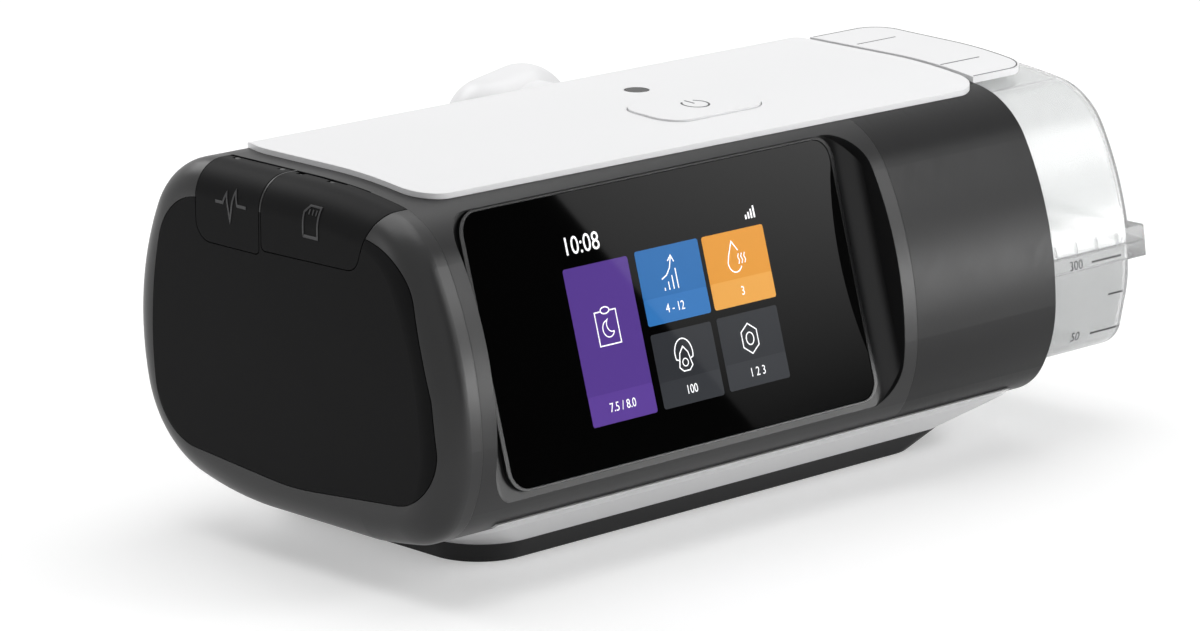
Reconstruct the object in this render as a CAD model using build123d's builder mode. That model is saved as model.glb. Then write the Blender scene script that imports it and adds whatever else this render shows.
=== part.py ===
from build123d import *
from math import cos, radians, sin
import os

os.makedirs("parts", exist_ok=True)

# Bedside breathing-therapy machine with a heated humidifier. Millimetres, +Z up.
# The origin is on the table under the middle of the machine: +X points to the
# water chamber, -Y to the user, who faces the tilted screen.

# ---------------------------------------------------------------- driving dimensions
X_CAP = -121.5  # outer face of the end cap
X_SEAM = -107.5  # joint between end cap and housing
X_PART = 67.0  # joint between housing and humidifier cover
X_SLEEVE = 128.5  # open end of the humidifier cover
X_DOME = 170.0  # outer end of the clear dome
X_TUB = 172.0  # outer end of the water tub
X_FLANGE = 174.0  # outer end of the chamber's rim
WALL = 2.2  # shell thickness of the mouldings
GAP = 0.3  # clearance between bodies that move apart
PLATE = 1.6  # height of the white top above the barrel
SPLIT_Y = -31.0  # joint between the front and rear housings

# Barrel section in (Y, Z): tangent arcs run from the crown to the flat underside.
CROWN = (-7, 110.5)
FRONT_ARCS = [(-43, 107.6), (-62.5, 94), (-76, 44.5), (-71.3, 24.6), (-57.3, 14.5), (-42, 12.6)]
REAR_ARCS = [(28, 110.6), (50.6, 96.6), (56.8, 42), (32, 16.5), (-1, 12.6)]
BELLY = 12.6  # height of the barrel's flat underside
CAP_ROUND = 10.0  # rounding of the end cap's outer edge

# Screen plane: reclined, its top edge set back.
SCREEN_TILT = 16.4
SCREEN_CENTRE = (-19.15, -61.18, 66.13)
GLASS_W, GLASS_H, GLASS_T, GLASS_R = 145.7, 77.8, 1.8, 6.0
RECESS_W, RECESS_H, RECESS_R = 163.5, 81.9, 11.0
RECESS_SHIFT = (-1.1, -1.05)
SCOOP = 6.0  # rounding where the recess walls meet its floor

# Humidifier
TUB_FLOOR = 22.5
RIM_Z = (51.9, 56.8, 61.5)  # underside, joint and top of the chamber's rim
TANK_LEFT = 74.0
HEATER = (101.0, -8.0)  # centre of the heater plate
HEATER_R = 26.0

# Air path
PORT_IN = (-10.0, 75.0)  # (Y, Z) of the port that feeds the chamber
PORT_OUT = (34.0, 88.0)  # (Y, Z) of the port that leaves it
PORT_R = 8.0
OUTLET = (50.0, 90.0)  # (X, Z) of the rear outlet
OUTLET_Y = 80.0  # axis of the elbow's free leg
ELBOW_DIP = 10.0  # degrees by which the elbow's free leg hangs below -X
ELBOW_R = 16.0  # outside of the elbow's bend
ELBOW_BACK = 18.0  # length of the bend behind its swivel axis
ELBOW_REACH = 22.5  # distance along the free leg at which its bare tube starts
ELBOW_ROUND = 14.0  # rounding of the bend's two ends
CUFF_R = 11.0  # outside of the 22 mm tube that takes the hose
CUFF_LENGTH = 15.0
NECK_R = 13.2  # outside of the elbow's swivel neck
SOCKET_R = 13.0  # outside of the collar round the outlet
BLOWER = (-48.0, 12.0)
BLOWER_R = 36.0
BLOWER_Z = (62.0, 88.0)

# Controls
BUTTON = (30.5, -19.0)
BUTTON_SIZE = (43.0, 24.0)
BUTTON_R = 9.0
BUTTON_PROUD = 0.5  # height of the button above the cover
SENSOR = (33.0, 8.0)
HINGE_X = X_SEAM - 1.45  # axes of the port flaps' hinges
PULSE_HINGE_Z = 109.4
CARD_HINGE_Z = 108.95
HINGE_R = 1.15  # rounding of the flaps' hinge edges
FILTER_X = (-98.0, -54.0)
FILTER_Z = (45.0, 78.0)
FILTER_HOLE_X = (FILTER_X[0] - GAP, FILTER_X[1] + GAP)
FILTER_HOLE_Z = (FILTER_Z[0] - GAP, FILTER_Z[1] + GAP)
FOOT_Z = 5.6  # joint between foot and tray
TRAY_RIM = (12.6, 15.2)
SCREW_SPOTS = [(-44, -36), (-44, 18), (50, -36), (50, 18)]
PAD_SPOTS = [(-66, -28), (-66, 22), (74, -28), (74, 22)]
BLOWER_LEGS = [(-48, 40), (-72.2, -2), (-23.8, -2)]
BOARD_POSTS = [(6.5, -24), (6.5, -10), (57.5, -24), (57.5, -10)]

SCREEN = Plane(
    origin=SCREEN_CENTRE,
    x_dir=(1, 0, 0),
    z_dir=(0, -cos(radians(SCREEN_TILT)), sin(radians(SCREEN_TILT))),
)


# ---------------------------------------------------------------- shared shapes
def block(x, y, z, mode=Mode.ADD):
    """Box between two places along each axis, in the builder that is open."""
    with Locations(((x[0] + x[1]) / 2, (y[0] + y[1]) / 2, (z[0] + z[1]) / 2)):
        Box(abs(x[1] - x[0]), abs(y[1] - y[0]), abs(z[1] - z[0]), mode=mode)


def drum(start, axis, radius, length, mode=Mode.ADD):
    """Cylinder that starts at a point and runs along an axis."""
    with Locations(Plane(origin=start, z_dir=axis).location):
        Cylinder(radius, length, align=(Align.CENTER, Align.CENTER, Align.MIN), mode=mode)


def arc_run(start, tangent, points):
    """Chain of arcs, each leaving in the direction in which the last one ended."""
    for point in points:
        arc = TangentArc(start, point, tangent=tangent)
        start = arc @ 1
        tangent = arc % 1


def barrel_outline(inset=0.0):
    """Barrel section, drawn inward by inset or outward by a negative one."""
    with BuildSketch(Plane.XY) as outline:
        with BuildLine():
            arc_run(CROWN, (-1, 0), FRONT_ARCS)
            arc_run(CROWN, (1, 0), REAR_ARCS)
            Line(FRONT_ARCS[-1], REAR_ARCS[-1])
        make_face()
        if inset:
            offset(amount=-inset, mode=Mode.REPLACE)
    return outline.sketch


def barrel_solid(inset, x_low, x_high):
    """Length of the barrel as a solid."""
    outline = barrel_outline(inset)
    with BuildPart() as length:
        with BuildSketch(Plane.YZ.offset(x_low)):
            add(outline)
        extrude(amount=x_high - x_low)
    return length.part


def cap_solid(inset):
    """End cap as a solid with a rounded outer edge."""
    outline = barrel_outline(inset)
    with BuildPart() as cap:
        with BuildSketch(Plane.YZ.offset(X_SEAM)):
            add(outline)
        extrude(amount=X_CAP + inset - X_SEAM)
        fillet(cap.edges().group_by(Axis.X)[0], radius=CAP_ROUND - inset)
    return cap.part


def end_prism(corners, radii, grow, x_low, x_high):
    """Rounded outline in (Y, Z), grown and extruded along X."""
    with BuildPart() as prism:
        with BuildSketch(Plane.YZ.offset(x_low)):
            with BuildLine():
                FilletPolyline(*corners, radius=radii, close=True)
            make_face()
            if grow:
                offset(amount=grow, mode=Mode.REPLACE)
        extrude(amount=x_high - x_low)
    return prism.part


def footprint(x, y, corner, z_low, z_high):
    """Upright prism on a rounded rectangle."""
    with BuildPart() as prism:
        with BuildSketch(Plane.XY.offset(z_low)):
            with Locations(((x[0] + x[1]) / 2, (y[0] + y[1]) / 2)):
                RectangleRounded(x[1] - x[0], y[1] - y[0], corner)
        extrude(amount=z_high - z_low)
    return prism.part


def upright_prism(corners, radii, z_low, z_high):
    """Upright prism on an outline whose corners are rounded one by one."""
    with BuildPart() as prism:
        with BuildSketch(Plane.XY.offset(z_low)):
            with BuildLine():
                FilletPolyline(*corners, radius=radii, close=True)
            make_face()
        extrude(amount=z_high - z_low)
    return prism.part


def screen_slab(width, height, corner, near, far, shift=(0, 0)):
    """Rounded slab on the screen plane, from one depth to another."""
    with BuildPart() as slab:
        with BuildSketch(SCREEN.offset(near)):
            with Locations(shift):
                RectangleRounded(width, height, corner)
        extrude(amount=far - near)
    return slab.part


def coil_spring(x, y, z_low, z_high, radius, wire, turns):
    """Upright compression spring, its wire's centre between two heights."""
    height = z_high - z_low - 2 * wire
    with BuildPart() as spring:
        with BuildLine(Plane(origin=(x, y, z_low + wire))) as path:
            Helix(pitch=height / turns, height=height, radius=radius)
        with BuildSketch(path.line ^ 0):
            Circle(wire)
        sweep(is_frenet=True)
    return spring.part


# ---------------------------------------------------------------- main shells
FLAP_TOP = X_SEAM - GAP  # place along X where each flap's top edge ends
PULSE_TOP = (0.8, 27.5)  # along Y, the round hinge edge of each flap
CARD_TOP = (-20.0, -0.8)
PULSE_LUGS = [(3.0, 5.0), (22.5, 24.5)]
CARD_LUGS = [(-18.0, -16.0), (-5.0, -3.0)]
FLAP_HINGES = [(PULSE_LUGS, PULSE_HINGE_Z), (CARD_LUGS, CARD_HINGE_Z)]


def hinge_trough(mode):
    """Room in the shell in which the flaps' hinge edges turn."""
    drum((HINGE_X, PULSE_TOP[0] - GAP, PULSE_HINGE_Z), (0, 1, 0), 1.9, 27.3, mode)
    drum((HINGE_X, -32, CARD_HINGE_Z), (0, 1, 0), 1.9, 31.5, mode)


shell_full = barrel_solid(0, X_SEAM, X_PART)
shell_void = barrel_solid(WALL, X_SEAM, X_PART)
with BuildPart() as shell_bosses:
    for x, y in SCREW_SPOTS:
        drum((x, y, BELLY), (0, 0, 1), 4.0, 5.9)
    add(shell_full, mode=Mode.INTERSECT)
with BuildPart() as blower_legs:
    for x, y in BLOWER_LEGS:
        drum((x, y, BELLY), (0, 0, 1), 4.0, 52 - BELLY)
    add(shell_full, mode=Mode.INTERSECT)
with BuildPart() as hinge_rib:
    block((X_SEAM, X_SEAM + 2.5), (-24, 27), (105.4, 112))
    add(shell_full, mode=Mode.INTERSECT)
    hinge_trough(Mode.SUBTRACT)
with BuildPart() as screw_bores:
    for x, y in SCREW_SPOTS:
        drum((x, y, BELLY - 1), (0, 0, 1), 1.5, 8)
front_half = footprint((X_SEAM - 5, X_PART + 5), (-90, SPLIT_Y), 1, 0, 130)
rear_half = footprint((X_SEAM - 5, X_PART + 5), (SPLIT_Y, 90), 1, 0, 130)

# Opening that the screen sits in: straight sides, scooped towards the floor.
with BuildPart() as recess_cutter:
    with BuildSketch(SCREEN.offset(-1.0)):
        with Locations(RECESS_SHIFT):
            RectangleRounded(RECESS_W, RECESS_H, RECESS_R)
    extrude(amount=40)
    across = Plane(
        origin=SCREEN.from_local_coords((RECESS_SHIFT[0], -60, -1.0)),
        x_dir=(1, 0, 0),
        z_dir=SCREEN.y_dir,
    )
    with BuildSketch(across) as channel:
        with Locations((0, -20)):
            Rectangle(RECESS_W, 40)
        fillet(channel.vertices().group_by(Axis.Y)[-1], radius=SCOOP)
    extrude(amount=120, mode=Mode.INTERSECT)
recess_pan = screen_slab(RECESS_W + 4, RECESS_H + 4, RECESS_R + 2, -3.0, 40, RECESS_SHIFT)
glass_rebate = screen_slab(GLASS_W + 0.4, GLASS_H + 0.4, GLASS_R, -2.0, 5)
glass_window = screen_slab(GLASS_W - 4, GLASS_H - 4, GLASS_R, -6, 5)

with BuildPart() as pan_wall:
    add(recess_pan)
    add(shell_full, mode=Mode.INTERSECT)

with BuildPart() as front_housing:
    add(shell_full)
    add(shell_void, mode=Mode.SUBTRACT)
    add(pan_wall.part)
    add(shell_bosses.part)
    add(screw_bores.part, mode=Mode.SUBTRACT)
    add(front_half, mode=Mode.INTERSECT)
    add(recess_cutter.part, mode=Mode.SUBTRACT)
    add(glass_rebate, mode=Mode.SUBTRACT)
    add(glass_window, mode=Mode.SUBTRACT)
front_housing.part.label = "front_housing"
export_step(front_housing.part, "parts/front_housing.step")

with BuildPart() as rear_housing:
    add(shell_full)
    add(shell_void, mode=Mode.SUBTRACT)
    add(shell_bosses.part)
    add(screw_bores.part, mode=Mode.SUBTRACT)
    add(rear_half, mode=Mode.INTERSECT)
    # Posts for the button's board, the port board and the blower.
    for x, y in BOARD_POSTS:
        drum((x, y, 101.6), (0, 0, 1), 2.0, 7.2)
    block((-105.8, -102.8), (-8, -2), (98, 109))
    block((-105.8, -102.8), (22.6, 26), (98, 109))
    add(blower_legs.part)
    hinge_trough(Mode.SUBTRACT)
    add(hinge_rib.part)
    for lugs, height in FLAP_HINGES:
        for span in lugs:
            width = span[1] - span[0]
            drum((HINGE_X, span[0], height), (0, 1, 0), HINGE_R, width)
            block((HINGE_X, X_SEAM + 1), span, (height - HINGE_R, height + 0.6))
            drum((HINGE_X, span[0], height), (0, 1, 0), 0.5, width, Mode.SUBTRACT)
    # Well for the power button, hole under the light sensor.
    block(
        (BUTTON[0] - 23, BUTTON[0] + 23),
        (SPLIT_Y - 1, BUTTON[1] + 14),
        (103, 115),
        Mode.SUBTRACT,
    )
    drum((SENSOR[0], SENSOR[1], 103), (0, 0, 1), 2.5, 12, Mode.SUBTRACT)
    # Rear openings: air outlet, power inlet and filter.
    drum((OUTLET[0], 41, OUTLET[1]), (0, 1, 0), SOCKET_R, 25, Mode.SUBTRACT)
    block((-28.2, -11.8), (40, 70), (32.8, 47.2), Mode.SUBTRACT)
    block(FILTER_HOLE_X, (46, 70), FILTER_HOLE_Z, Mode.SUBTRACT)
rear_housing.part.label = "rear_housing"
export_step(rear_housing.part, "parts/rear_housing.step")

# Plain white cover over the crown, standing proud of the barrel.
COVER_CORNERS = [(-100.5, -45), (126.5, -47.5), (126.5, 45), (-100.5, 45)]
COVER_RADII = [10, 11, 12, 24]
cover_blank = barrel_solid(-PLATE, -101.5, X_SLEEVE)
cover_print = upright_prism(COVER_CORNERS, COVER_RADII, 95, 120)
barrel_core = barrel_solid(0, -110, 140)
button_hole = footprint(
    (BUTTON[0] - BUTTON_SIZE[0] / 2, BUTTON[0] + BUTTON_SIZE[0] / 2),
    (BUTTON[1] - BUTTON_SIZE[1] / 2, BUTTON[1] + BUTTON_SIZE[1] / 2),
    BUTTON_R,
    100,
    120,
)
with BuildPart() as top_cover:
    add(cover_blank)
    add(cover_print, mode=Mode.INTERSECT)
    add(barrel_core, mode=Mode.SUBTRACT)
    add(button_hole, mode=Mode.SUBTRACT)
    drum((SENSOR[0], SENSOR[1], 100), (0, 0, 1), 3.9, 20, Mode.SUBTRACT)
top_cover.part.label = "top_cover"
export_step(top_cover.part, "parts/top_cover.step")

# Dark sleeve that holds the water chamber.
sleeve_full = barrel_solid(0, X_PART, X_SLEEVE)
sleeve_void = barrel_solid(WALL, X_PART, X_SLEEVE)
with BuildPart() as humidifier_cover:
    add(sleeve_full)
    add(sleeve_void, mode=Mode.SUBTRACT)
humidifier_cover.part.label = "humidifier_cover"
export_step(humidifier_cover.part, "parts/humidifier_cover.step")

# ---------------------------------------------------------------- base
FOOT_LOW = ((-85, 102), (-48.5, 41), 16, 14)
FOOT_TOP = ((-86.5, 115.5), (-50.5, 42.5), 18, 16)
TRAY_TOP = ((-104, 137.5), (-57, 43), 22, 15)


def outline_at(z, x, y, left, right):
    """Rounded rectangle at a height, its corners rounded more on one side."""
    with BuildSketch(Plane.XY.offset(z)) as outline:
        with BuildLine():
            corners = [(x[0], y[0]), (x[1], y[0]), (x[1], y[1]), (x[0], y[1])]
            FilletPolyline(*corners, radius=[left, right, right, left], close=True)
        make_face()
    return outline.sketch


foot_bottom = outline_at(0, *FOOT_LOW)
foot_top = outline_at(FOOT_Z, *FOOT_TOP)
with BuildPart() as base_foot:
    loft([foot_bottom.face(), foot_top.face()])
    block((-52, 58), (-18, 12), (2.0, FOOT_Z), Mode.SUBTRACT)
    for x, y in PAD_SPOTS:
        drum((x, y, 0), (0, 0, 1), 8.0, 1.5, Mode.SUBTRACT)
    for x, y in SCREW_SPOTS:
        drum((x, y, 0), (0, 0, 1), 3.4, 3.2, Mode.SUBTRACT)
        drum((x, y, 0), (0, 0, 1), 1.7, FOOT_Z, Mode.SUBTRACT)
base_foot.part.label = "base_foot"
export_step(base_foot.part, "parts/base_foot.step")

with BuildPart() as rubber_feet:
    for x, y in PAD_SPOTS:
        drum((x, y, 0), (0, 0, 1), 7.9, 1.5)
rubber_feet.part.label = "rubber_feet"
export_step(rubber_feet.part, "parts/rubber_feet.step")

with BuildPart() as base_screws:
    for x, y in SCREW_SPOTS:
        drum((x, y, 1.2), (0, 0, 1), 3.0, 2.0)
        drum((x, y, 1.2), (0, 0, 1), 0.9, 0.8, Mode.SUBTRACT)
        drum((x, y, 3.2), (0, 0, 1), 1.5, 13.8)
base_screws.part.label = "base_screws"
export_step(base_screws.part, "parts/base_screws.step")

tray_foot = outline_at(FOOT_Z, *FOOT_TOP)
tray_shoulder = outline_at(TRAY_RIM[0], *TRAY_TOP)
inner_low = outline_at(FOOT_Z + 2, (-84, 108), (-48, 40), 16, 14)
inner_high = outline_at(TRAY_RIM[0], (-100, 133.5), (-54, 40.5), 20, 13)
barrel_seat = barrel_solid(0, -115, 140)
with BuildPart() as lower_chassis:
    loft([tray_foot.face(), tray_shoulder.face()])
    with BuildSketch(Plane.XY.offset(TRAY_RIM[0])):
        add(outline_at(0, *TRAY_TOP))
    extrude(amount=TRAY_RIM[1] - TRAY_RIM[0])
    loft([inner_low.face(), inner_high.face()], mode=Mode.SUBTRACT)
    for x, y in SCREW_SPOTS:
        drum((x, y, FOOT_Z + 1), (0, 0, 1), 4.0, 10)
        drum((x, y, FOOT_Z), (0, 0, 1), 1.52, 12, Mode.SUBTRACT)
    add(barrel_seat, mode=Mode.SUBTRACT)
lower_chassis.part.label = "lower_chassis"
export_step(lower_chassis.part, "parts/lower_chassis.step")

# ---------------------------------------------------------------- end cap
PANEL_CORNERS = [
    (40.8, 100.4),
    (49.4, 66.3),
    (45.5, 28.3),
    (-12.5, 23.4),
    (-73.0, 29.0),
    (-69.3, 58.8),
    (-57.5, 100.4),
]
PANEL = (PANEL_CORNERS, [18.5, 115, 19, 100, 16.5, 20, 22.5])
PULSE_FLAP = ([(0.6, 125), (0.6, 88.5), (27.7, 88.5), (27.7, 125)], [1, 1.5, 6, 1])
CARD_FLAP = ([(-0.6, 125), (-0.6, 89.9), (-40, 90.6), (-52.5, 125)], [1, 1.5, 5, 1])
FLAP_T = 2.0
SOCKET_X = X_CAP + 2.9  # faces of the two sockets
PULSE_SOCKET = (14.5, 96.5)  # (Y, Z)

cap_full = cap_solid(0)
cap_void = cap_solid(WALL)
cap_under_panel = cap_solid(1.5)
cap_under_flap = cap_solid(FLAP_T)
cap_pocket_floor = cap_solid(FLAP_T + 0.5)
cap_pocket_back = cap_solid(FLAP_T + 2.6)
panel_print = end_prism(*PANEL, 0, -130, X_CAP + 4)
panel_bed = end_prism(*PANEL, 0.25, -130, X_CAP + 4)
pulse_print = end_prism(*PULSE_FLAP, 0, -130, FLAP_TOP)
card_print = end_prism(*CARD_FLAP, 0, -130, FLAP_TOP)
pulse_bed = end_prism(*PULSE_FLAP, 0.3, -130, X_SEAM)
card_bed = end_prism(*CARD_FLAP, 0.3, -130, X_SEAM)
pulse_back = end_prism(*PULSE_FLAP, 1.2, -130, X_SEAM)
card_back = end_prism(*CARD_FLAP, 1.2, -130, X_SEAM)

with BuildPart() as pocket_beds:
    add(pulse_bed)
    add(card_bed)
with BuildPart() as pocket_walls:
    add(pulse_back)
    add(card_back)
    add(cap_full, mode=Mode.INTERSECT)
    add(cap_pocket_back, mode=Mode.SUBTRACT)
with BuildPart() as pocket_cut:
    add(pocket_beds.part)
    add(cap_pocket_floor, mode=Mode.SUBTRACT)
with BuildPart() as panel_cut:
    add(panel_bed)
    add(cap_under_panel, mode=Mode.SUBTRACT)

with BuildPart() as end_cap:
    add(cap_full)
    add(cap_void, mode=Mode.SUBTRACT)
    add(pocket_walls.part)
    add(panel_cut.part, mode=Mode.SUBTRACT)
    add(pocket_cut.part, mode=Mode.SUBTRACT)
    drum((X_CAP - 5, *PULSE_SOCKET), (1, 0, 0), 5.5, 16, Mode.SUBTRACT)
    block((X_CAP - 5, X_CAP + 12), (-34.2, -7.8), (97.2, 100.8), Mode.SUBTRACT)
    block((-111, X_SEAM), (0.3, 28), (PULSE_HINGE_Z - 2.2, 115), Mode.SUBTRACT)
    block((-111, X_SEAM), (-40, -0.3), (CARD_HINGE_Z - 2.2, 115), Mode.SUBTRACT)
end_cap.part.label = "end_cap"
export_step(end_cap.part, "parts/end_cap.step")

with BuildPart() as end_cap_panel:
    add(cap_full)
    add(panel_print, mode=Mode.INTERSECT)
    add(cap_under_panel, mode=Mode.SUBTRACT)
    add(pocket_beds.part, mode=Mode.SUBTRACT)
end_cap_panel.part.label = "end_cap_panel"
export_step(end_cap_panel.part, "parts/end_cap_panel.step")


def port_flap(print_solid, top, lugs, height):
    """Cover that follows the cap's rounding and turns on a pin in its top edge."""
    corner = (HINGE_X, top[0] - 2, height)
    length = top[1] - top[0]
    with BuildPart() as flap_edge:
        block((HINGE_X, X_SEAM), (top[0] - 2, top[1] + 2), (height, 115))
        drum(corner, (0, 1, 0), HINGE_R, length + 4, Mode.SUBTRACT)
    with BuildPart() as flap:
        add(cap_full)
        add(print_solid, mode=Mode.INTERSECT)
        add(cap_under_flap, mode=Mode.SUBTRACT)
        add(flap_edge.part, mode=Mode.SUBTRACT)
        drum((HINGE_X, top[0], height), (0, 1, 0), HINGE_R, length)
        for span in lugs:
            notch = (span[0] - GAP, span[1] + GAP)
            block((HINGE_X - 1.5, X_SEAM), notch, (height - 2, 115), Mode.SUBTRACT)
        drum((HINGE_X, lugs[0][0], height), (0, 1, 0), 0.55, lugs[1][1] - lugs[0][0], Mode.SUBTRACT)
    return flap


pulse_port_flap = port_flap(pulse_print, PULSE_TOP, *FLAP_HINGES[0])
pulse_port_flap.part.label = "pulse_port_flap"
export_step(pulse_port_flap.part, "parts/pulse_port_flap.step")
card_slot_flap = port_flap(card_print, CARD_TOP, *FLAP_HINGES[1])
card_slot_flap.part.label = "card_slot_flap"
export_step(card_slot_flap.part, "parts/card_slot_flap.step")

with BuildPart() as flap_hinge_pins:
    for lugs, height in FLAP_HINGES:
        start = lugs[0][0]
        drum((HINGE_X, start, height), (0, 1, 0), 0.5, lugs[1][1] - start)
flap_hinge_pins.part.label = "flap_hinge_pins"
export_step(flap_hinge_pins.part, "parts/flap_hinge_pins.step")

# Board behind the ports, with the two sockets on it.
PORT_BOARD_X = (-107.4, -105.8)
with BuildPart() as port_board:
    block(PORT_BOARD_X, (-36, 24), (90, 104))
port_board.part.label = "port_board"
export_step(port_board.part, "parts/port_board.step")

with BuildPart() as pulse_socket:
    drum((SOCKET_X, *PULSE_SOCKET), (1, 0, 0), 5.2, PORT_BOARD_X[0] - SOCKET_X)
    drum((SOCKET_X, *PULSE_SOCKET), (1, 0, 0), 4.0, 9.2, Mode.SUBTRACT)
pulse_socket.part.label = "pulse_socket"
export_step(pulse_socket.part, "parts/pulse_socket.step")

with BuildPart() as card_socket:
    block((SOCKET_X, PORT_BOARD_X[0]), (-34, -8), (97.4, 100.6))
    block((SOCKET_X, -109.4), (-33.1, -8.9), (97.8, 100.2), Mode.SUBTRACT)
card_socket.part.label = "card_socket"
export_step(card_socket.part, "parts/card_socket.step")


# ---------------------------------------------------------------- display
def screen_block(x, y, depth, mode=Mode.ADD):
    """Box in the screen's own directions, in the builder that is open."""
    centre = Pos((x[0] + x[1]) / 2, (y[0] + y[1]) / 2, (depth[0] + depth[1]) / 2)
    with Locations(SCREEN.location * centre):
        Box(abs(x[1] - x[0]), abs(y[1] - y[0]), abs(depth[1] - depth[0]), mode=mode)


def screen_drum(x, y, radius, depth, mode=Mode.ADD):
    """Cylinder square to the screen, between two depths."""
    with Locations(SCREEN.location * Pos(x, y, depth[0])):
        Cylinder(
            radius,
            depth[1] - depth[0],
            align=(Align.CENTER, Align.CENTER, Align.MIN),
            mode=mode,
        )


BRACKET_POSTS = [(-74, -28), (-74, 28), (74, -28), (74, 28)]
BOARD_SPOTS = [(-54, -30), (-54, 30), (54, -30), (54, 30)]

with BuildPart() as screen_trim:
    add(screen_slab(149.0, 79.4, 6.9, -1.0, 0.2))
    add(glass_rebate, mode=Mode.SUBTRACT)
screen_trim.part.label = "screen_trim"
export_step(screen_trim.part, "parts/screen_trim.step")

with BuildPart() as display_glass:
    add(screen_slab(GLASS_W, GLASS_H, GLASS_R, -GLASS_T, 0))
display_glass.part.label = "display_glass"
export_step(display_glass.part, "parts/display_glass.step")

with BuildPart() as display_gasket:
    add(screen_slab(GLASS_W, GLASS_H, GLASS_R, -2.0, -GLASS_T))
    add(glass_window, mode=Mode.SUBTRACT)
display_gasket.part.label = "display_gasket"
export_step(display_gasket.part, "parts/display_gasket.step")

with BuildPart() as lcd_module:
    add(screen_slab(108, 68, 1, -5.3, -GLASS_T))
lcd_module.part.label = "lcd_module"
export_step(lcd_module.part, "parts/lcd_module.step")

with BuildPart() as display_bracket:
    add(screen_slab(154, 70, 3, -6.8, -5.3))
    screen_block((-42, 42), (-24, 24), (-8, -5), Mode.SUBTRACT)
    for x, y in BRACKET_POSTS:
        screen_drum(x, y, 2.5, (-5.3, -3.0))
    for x, y in BOARD_SPOTS:
        screen_drum(x, y, 2.6, (-11, -6.8))
        screen_drum(x, y, 1.2, (-11, -5.3), Mode.SUBTRACT)
display_bracket.part.label = "display_bracket"
export_step(display_bracket.part, "parts/display_bracket.step")

with BuildPart() as main_board:
    add(screen_slab(120, 68, 2, -12.6, -11))
    for x, y in BOARD_SPOTS:
        screen_drum(x, y, 1.2, (-13, -10), Mode.SUBTRACT)
    screen_block((-22, -6), (-8, 8), (-14.2, -12.6))
    screen_block((12, 34), (10, 18), (-16.6, -12.6))
    screen_block((12, 34), (-20, -12), (-16.6, -12.6))
main_board.part.label = "main_board"
export_step(main_board.part, "parts/main_board.step")

with BuildPart() as board_screws:
    for x, y in BOARD_SPOTS:
        screen_drum(x, y, 1.2, (-12.6, -7))
        screen_drum(x, y, 2.4, (-14.2, -12.6))
        screen_drum(x, y, 0.8, (-14.2, -13.4), Mode.SUBTRACT)
board_screws.part.label = "board_screws"
export_step(board_screws.part, "parts/board_screws.step")

with BuildPart() as display_ribbon:
    screen_block((20, 40), (-37.5, -34), (-4.9, -4.6))
    screen_block((20, 40), (-37.8, -37.5), (-12.3, -4.6))
    screen_block((20, 40), (-37.5, -34), (-12.3, -12.0))
display_ribbon.part.label = "display_ribbon"
export_step(display_ribbon.part, "parts/display_ribbon.step")

# ---------------------------------------------------------------- power button
SWITCH_TOP = 105.9
FLANGE_Z = (107.4, 109.0)
PRESS_GAP = 0.35
button_print = footprint(
    (BUTTON[0] - BUTTON_SIZE[0] / 2 + PRESS_GAP, BUTTON[0] + BUTTON_SIZE[0] / 2 - PRESS_GAP),
    (BUTTON[1] - BUTTON_SIZE[1] / 2 + PRESS_GAP, BUTTON[1] + BUTTON_SIZE[1] / 2 - PRESS_GAP),
    BUTTON_R - PRESS_GAP,
    FLANGE_Z[0],
    120,
)
button_blank = barrel_solid(-PLATE - BUTTON_PROUD, 0, X_PART)
with BuildPart() as power_button:
    add(button_blank)
    add(button_print, mode=Mode.INTERSECT)
    block((BUTTON[0] - 22.7, BUTTON[0] + 22.7), (BUTTON[1] - 11.4, BUTTON[1] + 12.6), FLANGE_Z)
    drum((*BUTTON, 106.8), (0, 0, 1), 4.0, FLANGE_Z[0] - 106.8)
power_button.part.label = "power_button"
export_step(power_button.part, "parts/power_button.step")

with BuildPart() as top_board:
    block((4, 60), (-28, 14), (100, 101.6))
    drum((*SENSOR, 101.6), (0, 0, 1), 1.8, 1.2)
top_board.part.label = "top_board"
export_step(top_board.part, "parts/top_board.step")

with BuildPart() as tact_switch:
    block((BUTTON[0] - 3, BUTTON[0] + 3), (BUTTON[1] - 3, BUTTON[1] + 3), (101.6, 105.1))
    drum((*BUTTON, 105.1), (0, 0, 1), 1.75, SWITCH_TOP - 105.1)
tact_switch.part.label = "tact_switch"
export_step(tact_switch.part, "parts/tact_switch.step")

button_spring = coil_spring(*BUTTON, 101.6, FLANGE_Z[0], 7.0, 0.5, 4)
button_spring.label = "button_spring"
export_step(button_spring, "parts/button_spring.step")

with BuildPart() as sensor_window:
    add(cover_blank)
    with Locations((SENSOR[0], SENSOR[1], 110)):
        Cylinder(3.75, 10, mode=Mode.INTERSECT)
    add(barrel_core, mode=Mode.SUBTRACT)
    drum((*SENSOR, 103.4), (0, 0, 1), 2.3, 7.4)
sensor_window.part.label = "sensor_window"
export_step(sensor_window.part, "parts/sensor_window.step")

# ---------------------------------------------------------------- humidifier bay
with BuildPart() as bay_partition:
    add(barrel_solid(WALL, X_PART - 2.5, X_PART))
    for port in (PORT_IN, PORT_OUT):
        drum((X_PART - 5, *port), (1, 0, 0), PORT_R + 0.2, 10, Mode.SUBTRACT)
bay_partition.part.label = "bay_partition"
export_step(bay_partition.part, "parts/bay_partition.step")

with BuildPart() as dock_seals:
    for port in (PORT_IN, PORT_OUT):
        drum((X_PART, *port), (1, 0, 0), PORT_R + 4, TANK_LEFT - GAP - X_PART)
        drum((X_PART, *port), (1, 0, 0), PORT_R + 1, TANK_LEFT - GAP - X_PART, Mode.SUBTRACT)
dock_seals.part.label = "dock_seals"
export_step(dock_seals.part, "parts/dock_seals.step")

HEATER_TOP = 20.1
SPRING_SPOTS = [(87, -5), (115, -5), (101, -25)]


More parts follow.
